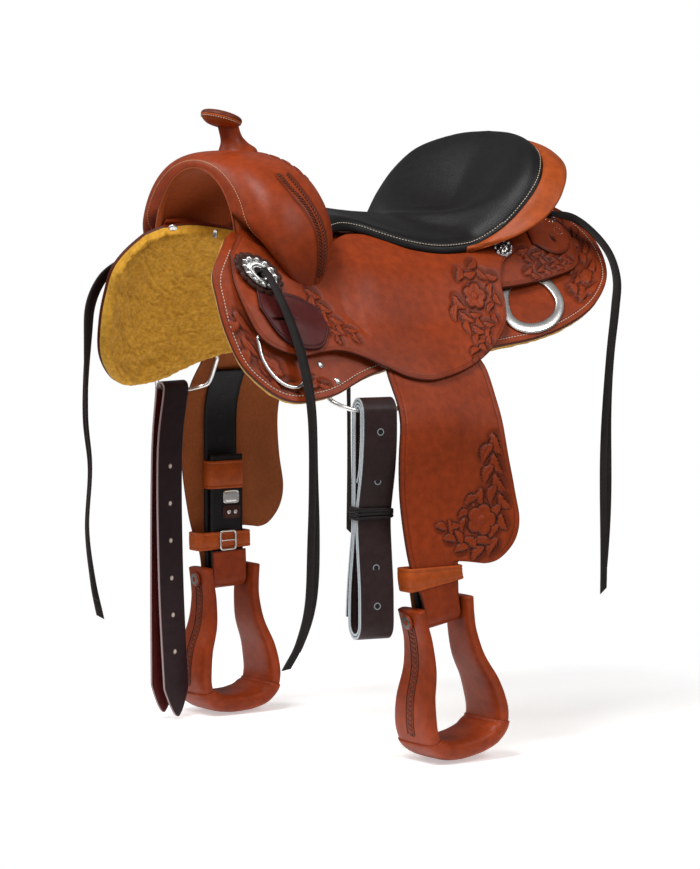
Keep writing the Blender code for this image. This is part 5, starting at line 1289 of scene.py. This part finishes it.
def fender_relief(t, y, d):
    high, dye_and_shade = tooled(t, y, vine(32, 10, (70, 42), (100, 40), (132, 42), (164, 50), (192, 48))
                       + vine(28, 9, (210, 46), (222, 20), (214, -10), (194, -32))
                       + vine(24, 6, (142, 22), (168, 8), (190, -10)) + [("blossom", 0.184, 0.022, 0, 0.022)])
    inner = (d > 0.0095) & (t < 0.25)
    high, dye_and_shade = creased(high * inner, dye_and_shade * inner, d, (0.0080,), 0.0008, 0.0007)
    fade = 1 - ease((t - 0.24) / 0.01)
    return high * fade, dye_and_shade * fade


FRONT, REAR = ([(s - SPLIT_S, y) for s, y in head[:-1]] + low
               for head, low in ((HEAD_FRONT, FENDER_FRONT), (HEAD_REAR, FENDER_REAR)))
for word, sign in SIDES.items():
    body = f"fender_{word}"
    skin = sheet(f"fender_skin_{word}", REAR, FRONT, 440, 150, fender_place(sign),
                 lambda s, y: nothing(s, y) + FENDER_THICK, nothing, RUSSET, fender_relief, -sign, 0.0014, body=None,
                 node=(f"fender_{word}", f"fender_head_{word}"))
    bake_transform(skin)
    points, out = from_table(LEATHER_TABLE, LEATHER_TABLE[0][::4])
    grid = [points * (1, 0, 1) + (0, STIRRUP_Y + STRAP_WIDTH / 2 * across, 0) + out * LEATHER_THICK / 2 * face
            for face in (1, -1) for across in np.linspace(-face, face, 9)]
    loft(f"stirrup_strap_{word}", rolled(np.stack(grid, 1), sign) * (sign, 1, 1), BLACK, body=body,
         node=f"stirrup_leather_{word}")
    laid = LEATHER_TABLE[0] < BOLT_Q
    p, out = from_table(LEATHER_TABLE, np.interp(HOLES_DOWN, -LEATHER_TABLE[1][laid, 2], LEATHER_TABLE[0][laid]))
    centres = p * (1, 0, 1) + (0, STIRRUP_Y, 0) - out * (LEATHER_THICK / 2 + 0.0001)
    spots = list(zip(centres * (sign, 1, 1), -out * (sign, 1, 1)))
    punched(f"stirrup_strap_holes_{word}", spots, Matrix.Identity(4), body)


def box_band(name, sign, x_in, x_out, y_front, y_rear, low, high, thick, look, bend, **rest):
    """A leather keeper round straps: a closed loop with rounded corners and a creased line along both edges."""
    gap, corner = 0.0005, 0.0050
    x_in, x_out, y_front, y_rear = x_in - gap, x_out + gap, y_front - gap, y_rear + gap
    edge = [(0, 0), (thick * 0.72, 0), (thick, 0.001), (thick, 0.0035), (thick - 0.0006, 0.0042), (thick, 0.0050)]
    out, up = np.array([(o, low + u) for o, u in edge] + [(thick, (low + high) / 2)]
                       + [(o, high - u) for o, u in edge[::-1]]).T
    sections = []
    for x, y, start in ((x_out - corner, y_rear - corner, 0), (x_in + corner, y_rear - corner, 90),
                        (x_in + corner, y_front + corner, 180), (x_out - corner, y_front + corner, 270)):
        for a in np.radians(start + np.linspace(0, 90, 9)):
            sections.append(np.stack([x + math.cos(a) * (corner + out), y + math.sin(a) * (corner + out), up], -1))
    grid = np.array(sections)
    return loft(name, (rolled(grid, sign) if bend else grid) * (sign, 1, 1), look, ring=True, **rest)


def slab(name, sign, face, centre, half, thick, look, square=0.35, **rest):
    """A thin rounded plate lying on the horse's side of a strap, with a pressed border."""
    y, z = (np.copysign(np.abs(f) ** square, f) for f in (np.cos(circle(56)), np.sin(circle(56))))
    rows = [np.stack([np.full(56, face - lift * thick), centre[0] + half[0] * share * y,
                      centre[1] + half[1] * share * z], -1)
            for share, lift in ((0.97, 0), (1, 0.25), (1, 0.6), (0.97, 0.92), (0.92, 1), (0.84, 0.98), (0.80, 0.72),
                                (0.76, 0.95), (0.5, 1), (0.1, 1.03))]
    return loft(name, np.array(rows) * (sign, 1, 1), look, **rest)


def frame_ring(name, sign, face, y, z, across, up, wide, look, **rest):
    """A square metal frame lying on the horse's side of a strap."""
    corner = 0.004
    path = []
    for start, right, top in ((0, 1, 1), (90, -1, 1), (180, -1, -1), (270, 1, -1)):
        for a in np.radians(start + np.linspace(0, 90, 7)):
            path.append((face - wide / 2, y + right * (across - corner) + corner * math.cos(a),
                         z + top * (up - corner) + corner * math.sin(a)))
    path = rolled(np.array(path + path[:1]), sign) * (sign, 1, 1)
    return wire(name, even(path, 0.0012)[:-1], wide / 2, look, True, **rest)


half = STRAP_WIDTH / 2
x_out, x_in = (X_BOLT + way * (LEATHER_WRAP + LEATHER_THICK / 2) for way in (1, -1))
middle = (HOBBLE_LOW + HOBBLE_HIGH) / 2
for word, sign in SIDES.items():
    body = f"fender_{word}"
    box_band(f"sleeve_skin_{word}", sign, x_in, x_out, STIRRUP_Y - half, STIRRUP_Y + half, SLEEVE_LOW, SLEEVE_HIGH,
             SLEEVE_THICK, ORANGE, False, body=f"sleeve_{word}", node=f"buckle_sleeve_{word}")
    slab(f"strap_plate_{word}", sign, x_in + 0.0002, PLATE_AT, (0.0135, 0.0095), 0.0022, SILVER, body=body)
    slab(f"strap_patch_{word}", sign, x_in + 0.0002, PATCH_AT, (0.0150, 0.0095), 0.0018, BROWN, body=body,
         slot="black_leather")
    for end, y in (("front", -0.0435), ("rear", -0.0325)):
        slab(f"strap_rivet_{end}_{word}", sign, x_in - 0.0014, (y, PATCH_AT[1]), (0.0030, 0.0030), 0.0016, SILVER,
             1.0, body=body)
    box_band(f"hobble_skin_{word}", sign, x_in, X_FENDER + FENDER_THICK / 2, HOBBLE_FRONT, HOBBLE_REAR, HOBBLE_LOW,
             HOBBLE_HIGH, HOBBLE_THICK, ORANGE, True, body=body, node=f"hobble_strap_{word}")
    frame_ring(f"hobble_frame_{word}", sign, x_in - 0.0036, BUCKLE_Y, middle, 0.013,
               (HOBBLE_HIGH - HOBBLE_LOW) / 2 + 0.0010, 0.0030, SILVER, body=body, node=f"hobble_buckle_{word}")
    tongue = [(x_in - 0.0062, BUCKLE_Y - 0.011, middle), (x_in - 0.0064, BUCKLE_Y, middle + 0.0003),
              (x_in - 0.0058, BUCKLE_Y + 0.014, middle)]
    wire(f"hobble_tongue_{word}", rolled(spline(tongue, 14), sign) * (sign, 1, 1), 0.0010, SILVER, sides=8, body=body)


# Stirrups

def make_stirrup(word, sign):
    """Bell stirrup covered in leather: laced branches, a wrapped tread and covered bolt heads."""
    half = spline(STIRRUP_HALF, 80)
    half = np.concatenate([half * (1, -1), half[-2::-1]])
    outline = np.stack([half[:, 1], BOLT_Z - half[:, 0]], -1)
    along = unit(np.gradient(outline, axis=0))
    into = np.stack([-along[:, 1], along[:, 0]], -1)
    drop = STIRRUP_HALF[-1][0]
    share = ease((BOLT_Z - outline[:, 1]) / (drop * 0.75))
    wide = STIRRUP_DEPTH_TOP + (STIRRUP_DEPTH_TREAD - STIRRUP_DEPTH_TOP) * share
    level = ease((np.abs(along[:, 0]) - 0.35) / 0.5)
    branch = BRANCH_THICK + (BRANCH_THICK_LOW - BRANCH_THICK) * share
    thick = branch + (TREAD_THICK - branch) * level
    c, d = np.cos(circle(36)), np.sin(circle(36))
    count = len(outline)
    rest = {"body": f"stirrup_{word}"}

    def section(k, grow, shift=0.0):
        across = np.copysign(np.abs(c) ** 0.50, c) * (wide[k] / 2 + grow)
        rise = thick[k] / 2 + np.copysign(np.abs(d) ** 0.60, d) * (thick[k] / 2 + grow)
        y, z = outline[k] + along[k] * shift
        return np.stack([X_BOLT + across, STIRRUP_Y + y + into[k, 0] * rise, z + into[k, 1] * rise], -1)

    def roll(p):
        return rolled(np.asarray(p), sign, 1.0) * (sign, 1, 1)

    ends = section(0, -0.0015, -0.0008), section(count - 1, -0.0015, 0.0008)
    loft(f"stirrup_skin_{word}", roll([ends[0]] + [section(k, 0.0) for k in range(count)] + [ends[1]]), RUSSET,
         node=f"stirrup_{word}", **rest)
    low = np.where(BOLT_Z - outline[:, 1] > drop * 0.83)[0]
    wrap = [section(low[0], 0.0002)] + [section(k, 0.0016) for k in low] + [section(low[-1], 0.0002)]
    loft(f"tread_wrap_{word}", roll(wrap), RUSSET, **rest)
    for end, ks in (("front", np.arange(6, low[0] - 3)), ("rear", np.arange(low[-1] + 4, count - 6))):
        spots = np.insert(outline[ks] + (STIRRUP_Y, 0), 0, X_BOLT, axis=1)
        walk = even(spots, 0.0062)
        order = np.argsort(spots[:, 2])
        facing = sampled(walk[:, 2], spots[order, 2], np.insert(-into[ks], 0, 0.0, axis=1)[order])
        for row, tilt in enumerate((0.45, -0.45)):
            direction = unit(np.gradient(walk, axis=0)) * tilt + (1.0, 0, 0)
            beads(f"branch_lace_{end}_{row}_{word}", roll(walk), roll(walk + direction) - roll(walk),
                  roll(walk + facing) - roll(walk), 0.0125, 0.0026, BRAID, **rest)
        for rail, reach in (("in", -0.0078), ("out", 0.0078)):
            wire(f"branch_edge_{end}_{rail}_{word}", roll(even(spots + (reach, 0, 0), 0.004)), 0.0008, BROWN,
                 sides=6, **rest)
    for end, way in (("front", -1), ("rear", 1)):
        y = STIRRUP_Y + way * (STIRRUP_HALF[0][1] + 0.0010)
        t = circle(28)
        rows = [np.stack([X_BOLT + r * np.cos(t), np.full(28, y + way * lift), BOLT_Z + r * np.sin(t)], -1)
                for r, lift in mm((10.5, 0), (10, 1.2), (8.5, 2.4), (6, 3.2), (3, 3.6), (0.8, 3.7))]
        loft(f"bolt_cover_{end}_{word}", roll(rows), RUSSET, **rest)


for word, sign in SIDES.items():
    make_stirrup(word, sign)


# Straps on the rigging dees

# A strap's section as (share of half the width, share of the thickness, edge mark) points, creased near its edges
CREASE = 0.455
STRAP_FACE = [(0.985, 0.46, 0.6), (0.955, 0.50, 0.0), (0.86, 0.50, 0.0), (0.845, CREASE, 0.0), (0.83, 0.50, 0.0),
              (0.5, 0.50, 0.0)]
STRAP_SECTION = ([(-1.0, -0.30, 1.0), (-1.0, 0.30, 1.0)] + [(-w, h, e) for w, h, e in STRAP_FACE] + [(0.0, 0.50, 0.0)]
                 + STRAP_FACE[::-1] + [(1.0, 0.30, 1.0), (1.0, -0.30, 1.0), (0.985, -0.46, 0.6), (0.955, -0.50, 0.0),
                                       (0.0, -0.50, 0.0), (-0.955, -0.50, 0.0), (-0.985, -0.46, 0.6)])


def strap(name, line, place, look, body, tips=1.0, **rest):
    """A flat strap: line is (across the horse, fore and aft, up) points; tips gives the width's share along it."""
    line = np.asarray(line, float)
    along = unit(np.gradient(line, axis=0))
    out = unit(np.stack([-along[:, 2], 0 * along[:, 1], along[:, 0]], -1))
    across, high, edge = np.array(STRAP_SECTION).T
    grid = line[:, None] + out[:, None] * (LATIGO_THICK * high)[:, None]
    grid[..., 1] += LATIGO_WIDTH / 2 * across * np.broadcast_to(tips, len(line))[:, None]
    # painted shade: the creased line near each edge is painted darker
    return loft(name, placed(grid, place), look, body=body, edge=np.tile(edge, len(line)),
                shade=np.tile(np.where(np.abs(high) == CREASE, 0.6, 0.0), len(line)), **rest)


def dee_place(shift, sign):
    """A frame at the bottom of a rigging dee: Y along its bow."""
    s, y = RIGGING_DEE_AT
    lift = RIGGING_LEAN - SKIRT_THICK - RIGGING_WIRE - PLY_GAP
    a, b = (side(s + RIGGING_DOWN, y + shift + reach, lift) for reach in (-0.02, 0.02))
    along = b - a
    turn = math.atan2(-along[0] * sign, along[1])
    middle = (a + b) / 2
    return Matrix.Translation((middle[0] * sign, middle[1], middle[2])) @ Matrix.Rotation(turn, 4, "Z")


def coil_path():
    """The coiled latigo's middle line, as (distance out, height) points from its dee."""
    pitch = LATIGO_PITCH
    top_centre = (COIL_RIGHT[0][0] + COIL_TAIL[0][0]) / 2
    low_centre = (COIL_RIGHT[-1][0] + COIL_LEFT[-1][0] - pitch) / 2
    path = [(n - 2 * pitch, z) for n, z in reversed(COIL_RIGHT[1:3])]
    path.insert(0, (COIL_RIGHT[3][0] - 2 * pitch + 0.002, -0.092))
    for turn in range(3):
        radius = COIL_RIGHT[0][0] - (2 - turn) * pitch - top_centre
        for k in range(7):
            a = math.pi * k / 6
            path.append((top_centre + radius * math.cos(a), radius * math.sin(a)))
        if turn == 2:
            path += COIL_TAIL[1:]
            break
        path += [(n - turn * pitch, z) for n, z in COIL_LEFT[1:]]
        radius = COIL_RIGHT[-1][0] - (1 - turn) * pitch - low_centre
        for k in range(7):
            a = math.pi * k / 6
            path.append((low_centre - radius * math.cos(a), -LATIGO_DROP - radius * math.sin(a)))
        path += [(n - (1 - turn) * pitch, z) for n, z in reversed(COIL_RIGHT[1:])]
    return path


latigo_place = dee_place(LATIGO_SHIFT, 1)
coil = np.array(coil_path())
coil = spline(np.stack([coil[:, 0], 0 * coil[:, 0], coil[:, 1] - LATIGO_REST], -1), 900)
strap("latigo_strap", coil, latigo_place, STRAP, "latigo", node="latigo_near")
face = spline([(n, 0.0, z) for n, z in COIL_RIGHT], 200)
face = face[[np.argmin(np.abs(face[:, 2] + down)) for down in LATIGO_HOLES_DOWN]]
punched("latigo_holes", [(p + (LATIGO_THICK / 2 + 0.0001, 0.0, -LATIGO_REST), (1, 0, 0)) for p in face], latigo_place,
        "latigo", STRAP, radius=0.0040)
room = 0.0018 + LATIGO_THICK / 2
left, right = COIL_TAIL[4][0] - room, COIL_RIGHT[4][0] + room
turn = circle(90)
c, d = (np.copysign(np.abs(f) ** 0.22, f) for f in (np.cos(turn), np.sin(turn)))
for lap in range(4):
    z = -LATIGO_TIE_DROP - LATIGO_REST - 0.0055 + 0.0036 * lap
    ring = np.stack([(left + right) / 2 + ((right - left) / 2 + 0.0012) * c, (LATIGO_WIDTH / 2 + 0.0016) * d,
                     z + 0.0016 * np.sin(turn + lap)], -1)
    ring = even(np.concatenate([ring, ring[:1]]), 0.002)[:-1]
    wire(f"latigo_tie_lap_{lap}", placed(ring, latigo_place), 0.0020, LACE, True, 10, body="latigo", node="latigo_tie")

billet_place = dee_place(BILLET_SHIFT, -1)
loop = RIGGING_WIRE + 0.0029 + LATIGO_THICK / 2
inside, outside = (spline(points, 160) for points in (BILLET_INSIDE, BILLET_OUTSIDE))
line = [(loop, y, -BILLET_DROP * share) for y, share in inside[::-1]]
line += [(loop * math.cos(a), 0.0, 0.003 + loop * math.sin(a)) for a in np.linspace(0, math.pi, 26)[1:-1]]
line += [(-loop, y, -(BILLET_DROP - 0.006) * share) for y, share in outside]
run = walked(line)
tips = np.maximum(np.clip(np.minimum(run, run[-1] - run) / 0.042, 0.0, 1.0) ** 0.62, 0.06)
billet = strap("billet_strap", line, billet_place, BILLET, "billet", tips, node="off_billet_far", looks=(OXBLOOD,))
column = np.arange((len(line) - 1) * len(STRAP_SECTION)) % len(STRAP_SECTION)
index = np.zeros(len(billet.data.polygons), np.int32)
index[:len(column)] = (column > 1) & (column < 13)
billet.data.polygons.foreach_set("material_index", index)
spots = []
for down in BILLET_HOLES_DOWN:
    aft = inside[np.argmin(np.abs(inside[:, 1] * BILLET_DROP - down)), 0]
    spots.append(((loop + LATIGO_THICK / 2 + 0.0001, aft, -down), (1, 0, 0)))
# painted light: the billet's holes are pale discs standing in for the white backdrop seen through them
punched("billet_holes", spots, billet_place, "billet", BILLET, WHITE_THREAD)


# Saddle strings: two flat laces from each concho

STRING_WIDTH = 0.0100
STRING_THICK = 0.0026
# The section as (share of half the width, share of the thickness, edge mark) points
STRING_SECTION = np.array([(-1, -0.25, 1), (-1, 0.25, 1), (-0.86, 0.5, 0.2), (-0.4, 0.55, 0), (0.4, 0.55, 0),
                           (0.86, 0.5, 0.2), (1, 0.25, 1), (1, -0.25, 1), (0.86, -0.5, 0.2), (0, -0.5, 0),
                           (-0.86, -0.5, 0.2)])


def string_pair(name, at, lift, sign, route):
    """Two flat laces from a concho along a route, each a cord."""
    root, knee = (side(*at, lift + out, sign) for out in (-0.0012, 0.0060))
    middle = even(np.concatenate([root[None], spline([knee, *route], 240)]), 0.0026)
    run = np.linspace(0, 1, len(middle))
    tangent = unit(np.gradient(middle, axis=0))
    facing = np.stack([sign + 0.25 * np.sin(run * 9), -0.35 + 0.5 * np.sin(run * 6.0 + 1), 0.12 + 0 * run], -1)
    out = unit(facing - tangent * np.sum(facing * tangent, -1, keepdims=True))
    across = np.cross(tangent, out)
    spread = ease(run / 0.10)
    for index, (shift, rise, share, turn) in enumerate(((0.0020, 0.0013, 1.0, 0.10), (-0.0022, -0.0016, 0.955, -0.22))):
        sway = 0.0016 * np.sin(run * 11 + index * 2.1) * spread
        centre = middle + across * (shift * spread + sway)[:, None] + out * (rise * (0.35 + 0.65 * spread))[:, None]
        keep = run <= share
        centre = centre[keep]
        normal = unit(out[keep] + across[keep] * turn)
        width = STRING_WIDTH / 2 * (0.62 + 0.38 * ease(run[keep] / 0.05))
        skew = 0.0045 * np.clip(1 - (share - run[keep]) * 30, 0, 1)
        sideways = unit(np.cross(tangent[keep], normal)) * width[:, None] + tangent[keep] * skew[:, None]
        rows = (centre[:, None] + sideways[:, None] * STRING_SECTION[:, :1]
                + normal[:, None] * STRING_THICK * STRING_SECTION[:, 1:2])
        obj = loft(f"{name}_lace_{index}", rows, LACE, node=name, edge=np.tile(STRING_SECTION[:, 2], len(rows)))


front_lift = keeper_face(*CONCHO_AT) + 7 * CLEARANCE + ROSETTE_THICK + CONCHO_THICK
rear_lift = rear_jockey_face(*REAR_CONCHO_AT) + 6 * CLEARANCE + REAR_CONCHO_THICK
for name, route in STRINGS.items():
    at, lift = (CONCHO_AT, front_lift) if "front" in name else (REAR_CONCHO_AT, rear_lift)
    string_pair(name, at, float(lift), 1 if name.endswith("near") else -1, route)


# The keeper on the rear jockey

REAR_KEEPER_TOP = mm((112, 214), (106, 240), (112, 268))
REAR_KEEPER_EDGE = mm((158, 204), (180, 224), (186, 248), (172, 268), (140, 273))


def rear_keeper_relief(s, y, d):
    low, dye_and_shade = creased(0.0, 0.0, d, (0.0036,))
    down, back = s - 0.160, y - 0.240
    slot = np.exp(-(np.hypot(down * 0.45 + back * 0.25, back - down * 0.2) / 0.0036) ** 4)
    return low - slot * 0.0022, np.maximum(dye_and_shade, slot)


for word, sign in SIDES.items():
    side_sheet(f"rear_keeper_{word}", REAR_KEEPER_TOP, REAR_KEEPER_EDGE, 90, 80,
               lambda s, y: rear_jockey_face(s, y) + 0.0030, lambda s, y: rear_jockey_face(s, y) + 0.0002, RUSSET,
               rear_keeper_relief, sign, 0.0011)


# Looks of the CAD pieces that stay

PLAIN = {"tree_fork": WOOD, "tree_cantle": WOOD, "tree_bar_near": RUSSET, "tree_bar_far": RUSSET, "ground_seat": BROWN,
         "horn_post": STEEL, "cantle_back": ORANGE, "stirrup_bolt_near": STEEL, "stirrup_bolt_far": STEEL}
for name, look in PLAIN.items():
    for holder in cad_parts[name].material_slots:
        holder.material = look


# Floor, light and camera

def make_floor():
    """A white floor that catches the shadow and fades out before its edge."""
    turn = circle(96)
    rings = [r * np.stack([np.cos(turn), np.sin(turn), 0 * turn], -1) for r in (0.0, 0.5, 1.0, 1.5, 2.0)]
    mesh = bpy.data.meshes.new("floor")
    mesh.from_pydata(np.concatenate(rings).tolist(), [], quads(5, 96, True))
    floor = bpy.data.objects.new("floor", mesh)
    floor.location = (0, 0, cad_box[0][2] - 0.004)
    bpy.context.scene.collection.objects.link(floor)
    look, tree, shader = nodes_of("floor_white")
    put(shader, {"Base Color": (0.92, 0.92, 0.92, 1.0), "Roughness": 0.9, "Specular IOR Level": 0.0,
                 "Emission Color": (1.0, 1.0, 1.0, 1.0), "Emission Strength": 0.42})
    reach = add(tree, "ShaderNodeVectorMath", operation="LENGTH")
    link(tree, add(tree, "ShaderNodeTexCoord").outputs["Object"], reach.inputs[0])
    fade = add(tree, "ShaderNodeMapRange", interpolation_type="SMOOTHSTEP")
    put(fade, {"From Min": 0.35, "From Max": 1.1, "To Min": 1.0, "To Max": 0.0})
    link(tree, reach.outputs["Value"], fade.inputs["Value"])
    link(tree, fade.outputs["Result"], shader.inputs["Alpha"])
    mesh.materials.append(look)


def make_sky():
    """White where the camera sees it, and a weak fill light elsewhere."""
    world = bpy.data.worlds.new("studio")
    world.use_nodes = True
    bpy.context.scene.world = world
    sky = world.node_tree
    sky.nodes.clear()
    rays = add(sky, "ShaderNodeLightPath")
    either = add(sky, "ShaderNodeMath", operation="MAXIMUM")
    blend = add(sky, "ShaderNodeMixShader")
    for slot, ray in enumerate(("Is Camera Ray", "Is Transmission Ray")):
        link(sky, rays.outputs[ray], either.inputs[slot])
    link(sky, either.outputs[0], blend.inputs[0])
    for slot, strength in ((1, 0.20), (2, 1.0)):
        glow = add(sky, "ShaderNodeBackground", Color=(1, 1, 1, 1), Strength=strength)
        link(sky, glow.outputs[0], blend.inputs[slot])
    link(sky, blend.outputs[0], add(sky, "ShaderNodeOutputWorld").inputs["Surface"])


def around(azimuth, distance, height):
    """A place at an azimuth from the front, turning toward the near side."""
    a = math.radians(azimuth)
    return Vector((math.sin(a) * distance, -math.cos(a) * distance, height))


def make_lamps():
    for name, azimuth, height, distance, power in (("key", 20, 3.0, 2.0, 118), ("side", 105, 1.9, 2.6, 44),
                                                   ("far", -40, 1.6, 2.8, 34), ("low", 60, -0.3, 3.0, 7)):
        lamp = bpy.data.lights.new(name, "AREA")
        lamp.size = 1.4
        lamp.energy = power
        obj = bpy.data.objects.new(name, lamp)
        obj.location = around(azimuth, distance, height)
        obj.rotation_euler = (Vector((0, 0, -0.05)) - obj.location).to_track_quat("-Z", "Y").to_euler()
        bpy.context.scene.collection.objects.link(obj)


PHOTO_FOCAL, PHOTO_HIGH, PHOTO_LEVEL_ROW = 3610, 869, 125


def make_camera():
    """The camera that the photo's outlines fit: its focal length and level row are in the photo's pixels."""
    eye = bpy.data.cameras.new("camera")
    eye.sensor_width = 36
    eye.lens = PHOTO_FOCAL / PHOTO_HIGH * eye.sensor_width
    camera = bpy.data.objects.new("camera", eye)
    camera.location = around(55, 5.0, 0.159)
    pitch = math.atan((PHOTO_HIGH / 2 - PHOTO_LEVEL_ROW) / PHOTO_FOCAL)
    look_along = around(55, -math.cos(pitch), -math.sin(pitch))
    camera.rotation_euler = look_along.to_track_quat("-Z", "Y").to_euler()
    bpy.context.scene.collection.objects.link(camera)
    bpy.context.scene.camera = camera
    bpy.context.scene.view_settings.view_transform = "Standard"


make_floor()
make_sky()
make_lamps()
make_camera()
